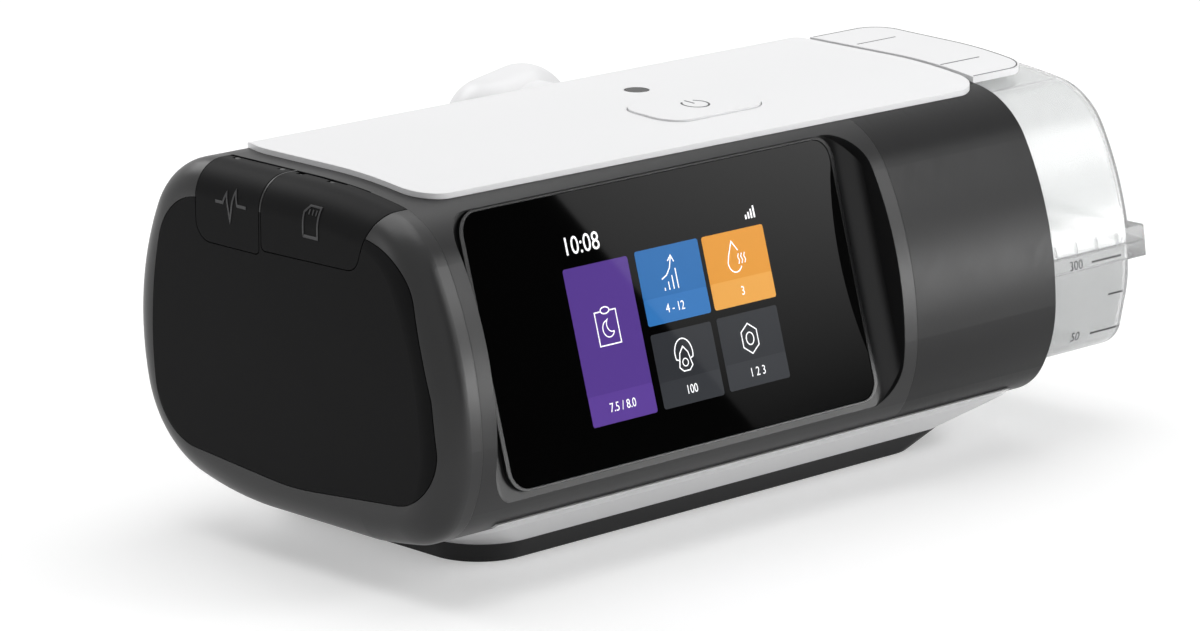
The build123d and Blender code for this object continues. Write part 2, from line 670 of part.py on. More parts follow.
def barrel_slice(inset, x, z):
    """Length of the barrel between two heights."""
    length = barrel_solid(inset, *x)
    with BuildPart() as part:
        add(length)
        block(x, (-100, 100), z, Mode.INTERSECT)
    return part.part


frame_blank = barrel_slice(WALL, (X_PART, X_SLEEVE - GAP), (BELLY + WALL, 19.6))
with BuildPart() as heater_frame:
    add(frame_blank)
    drum((*HEATER, 10), (0, 0, 1), HEATER_R + 0.5, 12, Mode.SUBTRACT)
heater_frame.part.label = "heater_frame"
export_step(heater_frame.part, "parts/heater_frame.step")

with BuildPart() as heater_plate:
    drum((*HEATER, 17.6), (0, 0, 1), HEATER_R, HEATER_TOP - 17.6)
heater_plate.part.label = "heater_plate"
export_step(heater_plate.part, "parts/heater_plate.step")

springs = [coil_spring(x, y, BELLY + WALL, 17.6, 3.0, 0.25, 3) for x, y in SPRING_SPOTS]
heater_springs = Compound(children=springs)
heater_springs.label = "heater_springs"
export_step(heater_springs, "parts/heater_springs.step")

# ---------------------------------------------------------------- water chamber
INSET_RIM = 2.9
TUB_CORNERS = [(-69, 68), (-70.3, 44), (-66, TUB_FLOOR), (40, TUB_FLOOR), (51.3, 42), (53, 68)]
TUB_RADII = [6, 40, 9, 12, 40, 6]
POCKET_X, POCKET_Y, POCKET_Z = (114, 134), (-20.5, 4.5), 98.4

dome = barrel_slice(INSET_RIM, (TANK_LEFT, X_DOME), (RIM_Z[1], 115))
rim_upper = barrel_slice(INSET_RIM, (TANK_LEFT, X_FLANGE), RIM_Z[1:])
dome_void = barrel_slice(INSET_RIM + 2, (TANK_LEFT + 2, X_DOME - 2), (50, 115))
with BuildPart() as dome_rounded:
    add(dome)
    end_edges = dome_rounded.edges().group_by(Axis.X)[-1]
    fillet(end_edges.filter_by(lambda edge: edge.center().Z > RIM_Z[1] + 1), radius=5)
with BuildPart() as void_rounded:
    add(dome_void)
    void_edges = void_rounded.edges().group_by(Axis.X)[-1]
    fillet(void_edges.filter_by(lambda edge: edge.center().Z > 51), radius=3)
with BuildPart() as latch_pocket:
    block(
        (POCKET_X[0] - 2, POCKET_X[1] + 2),
        (POCKET_Y[0] - 2, POCKET_Y[1] + 2),
        (POCKET_Z - 2, 115),
    )
    add(dome_rounded.part, mode=Mode.INTERSECT)
with BuildPart() as tank_lid:
    add(dome_rounded.part)
    add(rim_upper)
    add(void_rounded.part, mode=Mode.SUBTRACT)
    add(latch_pocket.part)
    block(POCKET_X, POCKET_Y, (POCKET_Z, 115), Mode.SUBTRACT)
    for port in (PORT_IN, PORT_OUT):
        drum((TANK_LEFT - 1, *port), (1, 0, 0), PORT_R, 4, Mode.SUBTRACT)
tank_lid.part.label = "tank_lid"
export_step(tank_lid.part, "parts/tank_lid.step")

SEAL_Z = (56.0, RIM_Z[1])
seal_outer = barrel_slice(4.4, (TANK_LEFT + 0.5, X_FLANGE - 2), SEAL_Z)
seal_inner = barrel_slice(6.4, (TANK_LEFT + 1.5, X_FLANGE - 5), SEAL_Z)
with BuildPart() as tank_seal:
    add(seal_outer)
    add(seal_inner, mode=Mode.SUBTRACT)
tank_seal.part.label = "tank_seal"
export_step(tank_seal.part, "parts/tank_seal.step")

rim_lower = barrel_slice(INSET_RIM, (TANK_LEFT, X_FLANGE), RIM_Z[:2])
tub_wall = end_prism(TUB_CORNERS, TUB_RADII, 0, TANK_LEFT, X_TUB)
tub_void = end_prism(TUB_CORNERS, TUB_RADII, -2, TANK_LEFT + 2, X_TUB - 2)
with BuildPart() as tub_rounded:
    add(tub_wall)
    fillet(tub_rounded.edges().group_by(Axis.X)[-1], radius=5)
    block((TANK_LEFT, X_TUB), (-100, 100), (TUB_FLOOR, RIM_Z[0]), Mode.INTERSECT)
with BuildPart() as tub_hollow:
    add(tub_void)
    fillet(tub_hollow.edges().group_by(Axis.X)[-1], radius=3)
with BuildPart() as water_tub:
    add(tub_rounded.part)
    add(rim_lower)
    add(tub_hollow.part, mode=Mode.SUBTRACT)
    add(tank_seal.part, mode=Mode.SUBTRACT)
    drum((*HEATER, TUB_FLOOR - 1), (0, 0, 1), HEATER_R - 1.5, 4, Mode.SUBTRACT)
water_tub.part.label = "water_tub"
export_step(water_tub.part, "parts/water_tub.step")

with BuildPart() as tank_base_plate:
    drum((*HEATER, HEATER_TOP + GAP), (0, 0, 1), HEATER_R + 1, TUB_FLOOR - HEATER_TOP - GAP)
    drum((*HEATER, TUB_FLOOR), (0, 0, 1), HEATER_R - 1.5, 1.5)
tank_base_plate.part.label = "tank_base_plate"
export_step(tank_base_plate.part, "parts/tank_base_plate.step")

LATCH_CORNERS = [(100, -40.5), (154.6, -40.5), (159.4, 28.3), (100, 28.3)]
LATCH_X = (X_SLEEVE + GAP, 160)
TONGUE_Z = (104.6, 107.6)
latch_blank = barrel_solid(-PLATE, *LATCH_X)
latch_under = barrel_solid(0.4, X_SLEEVE, X_FLANGE)
latch_print = upright_prism(LATCH_CORNERS, [1, 9, 9, 1], 95, 120)
with BuildPart() as latch_plate:
    add(latch_blank)
    add(latch_print, mode=Mode.INTERSECT)
    add(latch_under, mode=Mode.SUBTRACT)
    block((X_SLEEVE + 0.7, 133), (-18, 2), (TONGUE_Z[0], 110.2))
    block((116, 133), (-18, 2), TONGUE_Z)
latch_plate.part.label = "latch_plate"
export_step(latch_plate.part, "parts/latch_plate.step")

latch_spring = coil_spring(124, -8, POCKET_Z, TONGUE_Z[0], 4.0, 0.5, 4)
latch_spring.label = "latch_spring"
export_step(latch_spring, "parts/latch_spring.step")

# ---------------------------------------------------------------- blower
VOLUTE = (*BLOWER, BLOWER_Z[0])
MOTOR_R = 16.0  # outside of the motor's can
MOTOR_Z = (38.0, 60.0)
CAN_WALL = 2.0
CAN_FLOOR = MOTOR_Z[0] + 1.5
BEARING_R = 4.0
BEARINGS = [(CAN_FLOOR, 3.5), (56.0, 3.0)]  # underside and height of each
SHAFT_R = 1.5
SHAFT_Z = (40.0, 79.0)
STATOR_Z = (44.5, 54.5)
STATOR_BORE = 10.4
MAGNET_R = 9.6
MAGNET_Z = (45.0, 54.0)
IMPELLER_R = 27.0
IMPELLER_Z = 66.0  # underside of the impeller's disc
BLADES = 9
DUCT_Y = (-20, 0)
DUCT_Z = (65, 85)
DUCT_BORE_Y = (DUCT_Y[0] + 2, DUCT_Y[1] - 2)
DUCT_BORE_Z = (DUCT_Z[0] + 2, DUCT_Z[1] - 2)
with BuildPart() as blower_volute:
    drum(VOLUTE, (0, 0, 1), BLOWER_R, BLOWER_Z[1] - BLOWER_Z[0])
    block((BLOWER[0], -8), DUCT_Y, DUCT_Z)
    drum(VOLUTE, (0, 0, 1), BLOWER_R - 2, BLOWER_Z[1] - BLOWER_Z[0] - 2, Mode.SUBTRACT)
    drum(VOLUTE, (0, 0, 1), 12, 40, Mode.SUBTRACT)
    block((BLOWER[0], -8), DUCT_BORE_Y, DUCT_BORE_Z, Mode.SUBTRACT)
blower_volute.part.label = "blower_volute"
export_step(blower_volute.part, "parts/blower_volute.step")

with BuildPart() as air_duct:
    block((-8, X_PART - 2.5), DUCT_Y, DUCT_Z)
    block((-8, X_PART - 2.5), DUCT_BORE_Y, DUCT_BORE_Z, Mode.SUBTRACT)
air_duct.part.label = "air_duct"
export_step(air_duct.part, "parts/air_duct.step")

with BuildPart() as flow_sensor:
    block((8, 30), (-15, -5), (DUCT_Z[1], 90))
flow_sensor.part.label = "flow_sensor"
export_step(flow_sensor.part, "parts/flow_sensor.step")

with BuildPart() as blower_base:
    drum((*BLOWER, BLOWER_Z[0] - 2), (0, 0, 1), BLOWER_R, 2)
    drum((*BLOWER, BEARINGS[1][0]), (0, 0, 1), BEARING_R + 2, 4)
    drum((*BLOWER, BEARINGS[1][0]), (0, 0, 1), BEARING_R, BEARINGS[1][1], Mode.SUBTRACT)
    drum((*BLOWER, BEARINGS[1][0]), (0, 0, 1), SHAFT_R + 0.9, 10, Mode.SUBTRACT)
blower_base.part.label = "blower_base"
export_step(blower_base.part, "parts/blower_base.step")

with BuildPart() as motor_can:
    drum((*BLOWER, MOTOR_Z[0]), (0, 0, 1), MOTOR_R, MOTOR_Z[1] - MOTOR_Z[0])
    drum((*BLOWER, CAN_FLOOR), (0, 0, 1), MOTOR_R - CAN_WALL, 22, Mode.SUBTRACT)
    drum((*BLOWER, CAN_FLOOR), (0, 0, 1), BEARING_R + 2, BEARINGS[0][1])
    drum((*BLOWER, CAN_FLOOR), (0, 0, 1), BEARING_R, BEARINGS[0][1], Mode.SUBTRACT)
motor_can.part.label = "motor_can"
export_step(motor_can.part, "parts/motor_can.step")

with BuildPart() as motor_bearings:
    for z_low, height in BEARINGS:
        drum((*BLOWER, z_low), (0, 0, 1), BEARING_R, height)
        drum((*BLOWER, z_low), (0, 0, 1), SHAFT_R + 0.08, height, Mode.SUBTRACT)
motor_bearings.part.label = "motor_bearings"
export_step(motor_bearings.part, "parts/motor_bearings.step")

with BuildPart() as motor_stator:
    stator_height = STATOR_Z[1] - STATOR_Z[0]
    drum((*BLOWER, STATOR_Z[0]), (0, 0, 1), MOTOR_R - CAN_WALL, stator_height)
    drum((*BLOWER, STATOR_Z[0]), (0, 0, 1), STATOR_BORE, stator_height, Mode.SUBTRACT)
motor_stator.part.label = "motor_stator"
export_step(motor_stator.part, "parts/motor_stator.step")

with BuildPart() as blower_shaft:
    drum((*BLOWER, SHAFT_Z[0]), (0, 0, 1), SHAFT_R, SHAFT_Z[1] - SHAFT_Z[0])
blower_shaft.part.label = "blower_shaft"
export_step(blower_shaft.part, "parts/blower_shaft.step")

with BuildPart() as motor_magnet:
    drum((*BLOWER, MAGNET_Z[0]), (0, 0, 1), MAGNET_R, MAGNET_Z[1] - MAGNET_Z[0])
    drum((*BLOWER, MAGNET_Z[0]), (0, 0, 1), SHAFT_R, MAGNET_Z[1] - MAGNET_Z[0], Mode.SUBTRACT)
motor_magnet.part.label = "motor_magnet"
export_step(motor_magnet.part, "parts/motor_magnet.step")

with BuildPart() as impeller:
    drum((*BLOWER, IMPELLER_Z), (0, 0, 1), IMPELLER_R, 1.5)
    drum((*BLOWER, IMPELLER_Z), (0, 0, 1), 5, 14)
    with Locations((*BLOWER, IMPELLER_Z + 6.5)):
        with PolarLocations(IMPELLER_R - 11.5, BLADES):
            Box(22, 1.4, 11)
    drum((*BLOWER, IMPELLER_Z - 2), (0, 0, 1), SHAFT_R, 15, Mode.SUBTRACT)
impeller.part.label = "impeller"
export_step(impeller.part, "parts/impeller.step")

with BuildPart() as blower_mounts:
    for x, y in BLOWER_LEGS:
        drum((x, y, 52), (0, 0, 1), 5, BLOWER_Z[0] - 2 - 52)
blower_mounts.part.label = "blower_mounts"
export_step(blower_mounts.part, "parts/blower_mounts.step")

# ---------------------------------------------------------------- outlet
PLENUM_X = (36, X_PART - 2.5)
plenum_blank = barrel_solid(WALL + GAP, *PLENUM_X)
plenum_void = barrel_solid(WALL + GAP + 2, *PLENUM_X)
with BuildPart() as plenum_space:
    add(plenum_void)
    block((38, X_PART - 4.5), (24, 44), (79, 101), Mode.INTERSECT)
with BuildPart() as outlet_plenum:
    add(plenum_blank)
    block(PLENUM_X, (22, 46), (77, 103), Mode.INTERSECT)
    add(plenum_space.part, mode=Mode.SUBTRACT)
    drum((X_PART - 6, *PORT_OUT), (1, 0, 0), PORT_R + 0.2, 6, Mode.SUBTRACT)
    drum((OUTLET[0], 41, OUTLET[1]), (0, 1, 0), SOCKET_R, 8, Mode.SUBTRACT)
outlet_plenum.part.label = "outlet_plenum"
export_step(outlet_plenum.part, "parts/outlet_plenum.step")

with BuildPart() as outlet_socket:
    drum((OUTLET[0], 41, OUTLET[1]), (0, 1, 0), SOCKET_R, 22)
    drum((OUTLET[0], 41, OUTLET[1]), (0, 1, 0), 11.6, 22, Mode.SUBTRACT)
outlet_socket.part.label = "outlet_socket"
export_step(outlet_socket.part, "parts/outlet_socket.step")

ELBOW_DIR = (-cos(radians(ELBOW_DIP)), 0, -sin(radians(ELBOW_DIP)))


def on_leg(distance):
    """Point on the axis of the elbow's free leg, from the swivel axis outward."""
    return (
        OUTLET[0] + ELBOW_DIR[0] * distance,
        OUTLET_Y,
        OUTLET[1] + ELBOW_DIR[2] * distance,
    )


with BuildPart() as outlet_elbow:
    drum(on_leg(-ELBOW_BACK), ELBOW_DIR, ELBOW_R, ELBOW_BACK + ELBOW_REACH)
    fillet(outlet_elbow.edges().filter_by(GeomType.CIRCLE), radius=ELBOW_ROUND)
    drum((OUTLET[0], 63.3, OUTLET[1]), (0, 1, 0), NECK_R, OUTLET_Y - 63.3)
    drum((OUTLET[0], 57, OUTLET[1]), (0, 1, 0), 11.3, 8)
    drum(on_leg(5), ELBOW_DIR, CUFF_R, ELBOW_REACH + CUFF_LENGTH - 5)
    with Locations((OUTLET[0], OUTLET_Y, OUTLET[1])):
        Sphere(9.5, mode=Mode.SUBTRACT)
    drum((OUTLET[0], 56, OUTLET[1]), (0, 1, 0), 9.5, OUTLET_Y - 56, Mode.SUBTRACT)
    drum(on_leg(0), ELBOW_DIR, 9, ELBOW_REACH + CUFF_LENGTH + 1, Mode.SUBTRACT)
outlet_elbow.part.label = "outlet_elbow"
export_step(outlet_elbow.part, "parts/outlet_elbow.step")

# ---------------------------------------------------------------- filter and inlet
flange_blank = barrel_solid(WALL, -105, -45)
flange_under = barrel_solid(WALL + 1.8, -106, -44)
neck_blank = barrel_solid(2.1, -105, -45)
lid_under = barrel_solid(1.8, -106, -44)
with BuildPart() as frame_neck:
    add(neck_blank)
    block(FILTER_HOLE_X, (48, 66), FILTER_HOLE_Z, Mode.INTERSECT)
with BuildPart() as frame_flange:
    add(flange_blank)
    block((-101, -51), (46, 66), (42, 81), Mode.INTERSECT)
    add(flange_under, mode=Mode.SUBTRACT)
with BuildPart() as filter_frame:
    add(frame_neck.part)
    add(frame_flange.part)
    block((-96, -56), (50.2, 66), (46.5, 76.5), Mode.SUBTRACT)
    block((-93, -59), (46, 51), (50, 73), Mode.SUBTRACT)
filter_frame.part.label = "filter_frame"
export_step(filter_frame.part, "parts/filter_frame.step")

with BuildPart() as air_filter:
    block((-96, -56), (50.2, 54.2), (46.5, 76.5))
air_filter.part.label = "air_filter"
export_step(air_filter.part, "parts/air_filter.step")

lid_blank = barrel_solid(0, -105, -45)
with BuildPart() as filter_cover:
    add(lid_blank)
    block(FILTER_X, (48, 66), FILTER_Z, Mode.INTERSECT)
    add(lid_under, mode=Mode.SUBTRACT)
    for step in range(6):
        z_slot = 51 + 4 * step
        block((-92, -60), (48, 66), (z_slot, z_slot + 1.6), Mode.SUBTRACT)
filter_cover.part.label = "filter_cover"
export_step(filter_cover.part, "parts/filter_cover.step")

inlet_blank = barrel_solid(0, -40, 0)
inlet_seat = barrel_solid(WALL, -40, 0)
inlet_under = barrel_solid(WALL + 2, -41, 1)
with BuildPart() as inlet_body:
    add(inlet_blank)
    block((-28, -12), (42, 66), (33, 47), Mode.INTERSECT)
with BuildPart() as inlet_flange:
    add(inlet_seat)
    block((-31, -9), (44, 66), (30, 50), Mode.INTERSECT)
    add(inlet_under, mode=Mode.SUBTRACT)
with BuildPart() as power_inlet:
    add(inlet_body.part)
    add(inlet_flange.part)
    drum((-20, 45, 40), (0, 1, 0), 3.2, 20, Mode.SUBTRACT)
    drum((-20, 44, 40), (0, 1, 0), 1.0, 9.5)
power_inlet.part.label = "power_inlet"
export_step(power_inlet.part, "parts/power_inlet.step")

with BuildPart() as speaker:
    drum((10, -20, BELLY + WALL), (0, 0, 1), 12, 5)
speaker.part.label = "speaker"
export_step(speaker.part, "parts/speaker.step")
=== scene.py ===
"""Studio view of a bedside breathing-therapy machine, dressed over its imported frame.

Every piece is in metres, in the frame of the solids: +X points to the water chamber,
-Y to the user and +Z up from the table.
"""

from __future__ import annotations

import logging
import math
from collections.abc import Callable, Mapping, Sequence
from dataclasses import dataclass, field
from enum import Enum
from typing import Any

import bmesh
import bpy
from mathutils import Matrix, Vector
from mathutils.bvhtree import BVHTree


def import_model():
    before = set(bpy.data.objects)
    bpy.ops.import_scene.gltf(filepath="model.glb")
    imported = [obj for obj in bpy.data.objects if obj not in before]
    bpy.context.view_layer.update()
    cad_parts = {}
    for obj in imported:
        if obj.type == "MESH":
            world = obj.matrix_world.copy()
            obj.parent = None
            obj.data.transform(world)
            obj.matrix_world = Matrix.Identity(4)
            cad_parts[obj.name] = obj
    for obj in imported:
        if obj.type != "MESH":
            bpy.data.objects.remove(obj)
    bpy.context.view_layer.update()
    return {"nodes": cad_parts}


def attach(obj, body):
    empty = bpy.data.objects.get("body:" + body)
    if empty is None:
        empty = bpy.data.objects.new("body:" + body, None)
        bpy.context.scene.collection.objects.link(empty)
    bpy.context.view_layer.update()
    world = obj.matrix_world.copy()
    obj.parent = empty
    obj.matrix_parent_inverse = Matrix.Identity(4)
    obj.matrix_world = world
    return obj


LOG = logging.getLogger("machine")
MM = 0.001
Point = tuple[float, float]
Face = tuple[int, ...]
Tree = bpy.types.NodeTree
Socket = bpy.types.NodeSocket
BEVEL_SAMPLES = 4
CORNER_TURNS = 5
FIGURE_SHARE = 0.7  # Height of a figure against the size of its font.
FIGURE_CURVE = 3
# Places outside the machine from which its faces are looked for, in metres.
IN_FRONT = -0.2
ABOVE = 0.2


# ------------------------------------------------------------------ shared helpers
def linear(colour: str) -> tuple[float, float, float, float]:
    """Turns an sRGB hex colour into linear light.

    Args:
        colour: Six hex digits, with or without a leading hash.

    Returns:
        Linear red, green and blue, with an alpha of one.
    """
    digits = colour.lstrip("#")
    levels = [int(digits[start : start + 2], 16) / 255 for start in (0, 2, 4)]
    red, green, blue = (c / 12.92 if c <= 0.04045 else ((c + 0.055) / 1.055) ** 2.4 for c in levels)
    return red, green, blue, 1.0


def per_metre(size_mm: float) -> float:
    """Gives the texture scale whose features are size_mm across."""
    return 1000.0 / size_mm


def add_node(
    tree: Tree,
    kind: str,
    settings: Mapping[str, Any] | None = None,
    values: Mapping[str | int, Any] | None = None,
    links: Mapping[str | int, Socket] | None = None,
) -> bpy.types.Node:
    """Adds one node with its settings, socket values and links.

    Args:
        tree: Node tree that takes the node.
        kind: Blender's name for the node type.
        settings: Properties of the node itself.
        values: Values of unlinked inputs, by name or index.
        links: Outputs that feed its inputs, by name or index.

    Returns:
        The new node.
    """
    node = tree.nodes.new(kind)
    for key, value in (settings or {}).items():
        setattr(node, key, value)
    for key, value in (values or {}).items():
        node.inputs[key].default_value = value
    for key, source in (links or {}).items():
        tree.links.new(source, node.inputs[key])
    return node


def new_material(name: str) -> tuple[bpy.types.Material, Tree]:
    """Makes an empty node material.

    Args:
        name: Name of the real material and how it was made.

    Returns:
        The material and its node tree.
    """
    material = bpy.data.materials.new(name)
    material.use_nodes = True
    material.node_tree.nodes.clear()
    return material, material.node_tree


def darker(colour: Sequence[float], share: float) -> tuple[float, ...]:
    """Gives a colour with only a share of its light."""
    return tuple(level * share for level in colour[:3]) + (1.0,)


def object_place(tree: Tree) -> Socket:
    """Gives each point's place on the piece, in metres."""
    return add_node(tree, "ShaderNodeTexCoord").outputs["Object"]


def noise(tree: Tree, place: Socket, scale: float, detail: float, rough: float = 0.5) -> Socket:
    """Gives the strength of a soft noise."""
    values = {"Scale": scale, "Detail": detail, "Roughness": rough}
    return add_node(tree, "ShaderNodeTexNoise", values=values, links={"Vector": place}).outputs["Fac"]


def stretched(tree: Tree, place: Socket, sizes_mm: Sequence[float]) -> Socket:
    """Stretches a place so that features are sizes_mm across along each axis."""
    values = {"Scale": tuple(per_metre(size) for size in sizes_mm)}
    return add_node(tree, "ShaderNodeMapping", values=values, links={"Vector": place}).outputs[0]


def ranged(tree: Tree, share: Socket, low: float, high: float, span: Point = (0.0, 1.0)) -> Socket:
    """Turns a share within a span into a value from low to high."""
    values = {1: span[0], 2: span[1], 3: low, 4: high}
    return add_node(tree, "ShaderNodeMapRange", values=values, links={0: share}).outputs[0]


def rounded(tree: Tree, radius_mm: float) -> Socket:
    """Gives the normals of corners with a small radius."""
    values = {"Radius": radius_mm * MM}
    return add_node(tree, "ShaderNodeBevel", {"samples": BEVEL_SAMPLES}, values).outputs[0]


def bumped(tree: Tree, height: Socket, depth_mm: float, normal: Socket | None = None) -> Socket:
    """Gives the normals of a surface that a height raises by up to depth_mm."""
    links = {"Height": height} if normal is None else {"Height": height, "Normal": normal}
    return add_node(
        tree, "ShaderNodeBump", values={"Strength": 1.0, "Distance": depth_mm * MM}, links=links
    ).outputs[0]


def tinted(tree: Tree, share: Socket, low: Sequence[float], high: Sequence[float]) -> Socket:
    """Mixes two colours, the second one as strong as the share."""
    colours = {6: low, 7: high}
    return add_node(tree, "ShaderNodeMix", {"data_type": "RGBA"}, colours, {0: share}).outputs[2]


def seen_white(tree: Tree, path: bpy.types.Node) -> Socket:
    """Picks the rays that have to find white: the eye's and those through clear pieces."""
    rays = {0: path.outputs["Is Camera Ray"], 1: path.outputs["Is Transmission Ray"]}
    return add_node(tree, "ShaderNodeMath", {"operation": "MAXIMUM"}, links=rays).outputs[0]


# ------------------------------------------------------------------ finishes
@dataclass(frozen=True)
class MouldedPlastic:
    """Injection-moulded plastic with the grain etched into its mould.

    The grain breaks up reflections, a slow mottle keeps large faces from looking flat,
    and edge_mm is the small radius that every moulded corner has.
    """

    name: str
    colour: str
    roughness: float
    grain_mm: float = 0.5
    grain_depth_mm: float = 0.004
    edge_mm: float = 0.3
    mottle_mm: float = 35.0
    tone: float = 0.06
    ior: float = 1.5
    specular: float = 0.5
    coat: float = 0.0
    coat_roughness: float = 0.08
    gloss_play: float = 0.03

    def build(self) -> bpy.types.Material:
        """Builds the node material."""
        material, tree = new_material(self.name)
        place = object_place(tree)
        mottle = noise(tree, place, per_metre(self.mottle_mm), detail=3.0)
        base = linear(self.colour)
        tint = tinted(tree, mottle, darker(base, 1 - self.tone), base)
        low, high = self.roughness - self.gloss_play, self.roughness + self.gloss_play
        rough = ranged(tree, mottle, low, high)
        grain = noise(tree, place, per_metre(self.grain_mm), detail=2.0)
        relief = bumped(tree, grain, self.grain_depth_mm, rounded(tree, self.edge_mm))
        shader = add_node(
            tree,
            "ShaderNodeBsdfPrincipled",
            values={
                "IOR": self.ior,
                "Specular IOR Level": self.specular,
                "Coat Weight": self.coat,
                "Coat Roughness": self.coat_roughness,
            },
            links={"Base Color": tint, "Roughness": rough, "Normal": relief},
        )
        add_node(tree, "ShaderNodeOutputMaterial", links={"Surface": shader.outputs[0]})
        return material


@dataclass(frozen=True)
class HairlinePlastic:
    """Moulded plastic whose mould was brushed, so fine crossing lines catch the light; their lighter
    colour is a painted glint.
    """

    name: str
    colour: str
    # Colour of the painted glint on the lines.
    light: str
    roughness: float
    specular: float = 0.35
    line_mm: float = 0.55
    run_mm: float = 14.0
    depth_mm: float = 0.006
    tilt_deg: float = 52.0
    edge_mm: float = 0.3
    ior: float = 1.5
    weave_span: Point = (0.1, 0.45)
    gloss_play: Point = (-0.05, 0.06)

    def build(self) -> bpy.types.Material:
        """Builds the node material."""
        material, tree = new_material(self.name)
        place = object_place(tree)
        lines = []
        for sign in (1.0, -1.0):
            turned = add_node(
                tree,
                "ShaderNodeMapping",
                values={"Rotation": (0.0, sign * math.radians(self.tilt_deg), 0.0)},
                links={"Vector": place},
            ).outputs[0]
            # The lines of a brushed mould are about 0.1 mm apart. They are drawn wider,
            # so that they still show at this distance.
            drawn = stretched(tree, turned, (self.run_mm, self.run_mm, self.line_mm))
            lines.append(noise(tree, drawn, 1.0, detail=3.0, rough=0.6))
        weave = add_node(
            tree, "ShaderNodeMath", {"operation": "MULTIPLY"}, links={0: lines[0], 1: lines[1]}
        ).outputs[0]
        # Painted glint: the raised lines take the lighter colour; their bump and roughness are real.
        tint = tinted(tree, weave, linear(self.colour), linear(self.light))
        low, high = (self.roughness + play for play in self.gloss_play)
        rough = ranged(tree, weave, low, high, self.weave_span)
        relief = bumped(tree, weave, self.depth_mm, rounded(tree, self.edge_mm))
        shader = add_node(
            tree,
            "ShaderNodeBsdfPrincipled",
            values={"IOR": self.ior, "Specular IOR Level": self.specular},
            links={"Base Color": tint, "Roughness": rough, "Normal": relief},
        )
        add_node(tree, "ShaderNodeOutputMaterial", links={"Surface": shader.outputs[0]})
        return material


@dataclass(frozen=True)
class ClearPlastic:
    """Clear moulded polycarbonate: bends light at its edges, passes it elsewhere."""

    name: str
    colour: str
    roughness: float
    ior: float
    clearness: float = 0.9
    specular: float = 0.3
    shade: float = 0.2
    edge_mm: float = 0.5
    flow_mm: float = 18.0
    flow_depth_mm: float = 0.02

    def build(self) -> bpy.types.Material:
        """Builds the node material."""
        material, tree = new_material(self.name)
        flow = noise(tree, object_place(tree), per_metre(self.flow_mm), detail=1.0)
        relief = bumped(tree, flow, self.flow_depth_mm, rounded(tree, self.edge_mm))
        shader = add_node(
            tree,
            "ShaderNodeBsdfPrincipled",
            values={
                "Base Color": linear(self.colour),
                "Roughness": self.roughness,
                "IOR": self.ior,
                "Specular IOR Level": self.specular,
                "Transmission Weight": self.clearness,
            },
            links={"Normal": relief},
        ).outputs[0]
        # Light passes through a clear wall, so its shadow is only a faint grey.
        veil = darker((1.0, 1.0, 1.0), 1 - self.shade)
        passed = add_node(tree, "ShaderNodeBsdfTransparent", values={"Color": veil}).outputs[0]
        shadow = add_node(tree, "ShaderNodeLightPath").outputs["Is Shadow Ray"]
        mixed = add_node(
            tree, "ShaderNodeMixShader", links={0: shadow, 1: shader, 2: passed}
        ).outputs[0]
        add_node(tree, "ShaderNodeOutputMaterial", links={"Surface": mixed})
        return material


@dataclass(frozen=True)
class PolishedSheet:
    """Polished glass or acrylic with its colour printed on the back."""

    name: str
    colour: str
    roughness: float
    ior: float = 1.52
    specular: float = 0.5
    glow: float = 0.0
    haze_mm: float = 30.0
    haze: float = 1.5

    def build(self) -> bpy.types.Material:
        """Builds the node material."""
        material, tree = new_material(self.name)
        haze = noise(tree, object_place(tree), per_metre(self.haze_mm), detail=4.0)
        rough = ranged(tree, haze, self.roughness, self.roughness * self.haze)
        shader = add_node(
            tree,
            "ShaderNodeBsdfPrincipled",
            values={
                "Base Color": linear(self.colour),
                "IOR": self.ior,
                "Specular IOR Level": self.specular,
                "Emission Color": linear(self.colour),
                "Emission Strength": self.glow,
            },
            links={"Roughness": rough},
        )
        add_node(tree, "ShaderNodeOutputMaterial", links={"Surface": shader.outputs[0]})
        return material


@dataclass(frozen=True)
class WorkedMetal:
    """Metal with the fine lines of rolling, turning or drawing."""

    name: str
    colour: str
    roughness: float
    line_mm: float = 0.4
    run_mm: float = 12.0
    depth_mm: float = 0.003
    gloss_play: Point = (-0.06, 0.08)

    def build(self) -> bpy.types.Material:
        """Builds the node material."""
        material, tree = new_material(self.name)
        drawn = stretched(tree, object_place(tree), (self.run_mm, self.line_mm, self.line_mm))
        lines = noise(tree, drawn, 1.0, detail=2.0)
        low, high = (self.roughness + play for play in self.gloss_play)
        shader = add_node(
            tree,
            "ShaderNodeBsdfPrincipled",
            values={"Base Color": linear(self.colour), "Metallic": 1.0},
            links={
                "Roughness": ranged(tree, lines, low, high),
                "Normal": bumped(tree, lines, self.depth_mm),
            },
        )
        add_node(tree, "ShaderNodeOutputMaterial", links={"Surface": shader.outputs[0]})
        return material


@dataclass(frozen=True)
class FibreFelt:
    """Pressed felt of fine fibres, as in an air filter, with painted shade in the hollows between
    fibres.
    """

    name: str
    colour: str
    fibre_mm: float = 0.3
    depth_mm: float = 0.1
    # Share of the colour left in the painted shade between fibres.
    shade: float = 0.7
    roughness: float = 0.95
    sheen: float = 0.4

    def build(self) -> bpy.types.Material:
        """Builds the node material."""
        material, tree = new_material(self.name)
        fibres = add_node(
            tree,
            "ShaderNodeTexVoronoi",
            values={"Scale": per_metre(self.fibre_mm)},
            links={"Vector": object_place(tree)},
        ).outputs["Distance"]
        relief = bumped(tree, fibres, self.depth_mm)
        base = linear(self.colour)
        # Painted shade: the colour darkens where the bump sinks between the fibres.
        tint = tinted(tree, fibres, darker(base, self.shade), base)
        shader = add_node(
            tree,
            "ShaderNodeBsdfPrincipled",
            values={"Roughness": self.roughness, "Sheen Weight": self.sheen},
            links={"Base Color": tint, "Normal": relief},
        )
        add_node(tree, "ShaderNodeOutputMaterial", links={"Surface": shader.outputs[0]})
        return material


Finish = MouldedPlastic | HairlinePlastic | ClearPlastic | PolishedSheet | WorkedMetal | FibreFelt


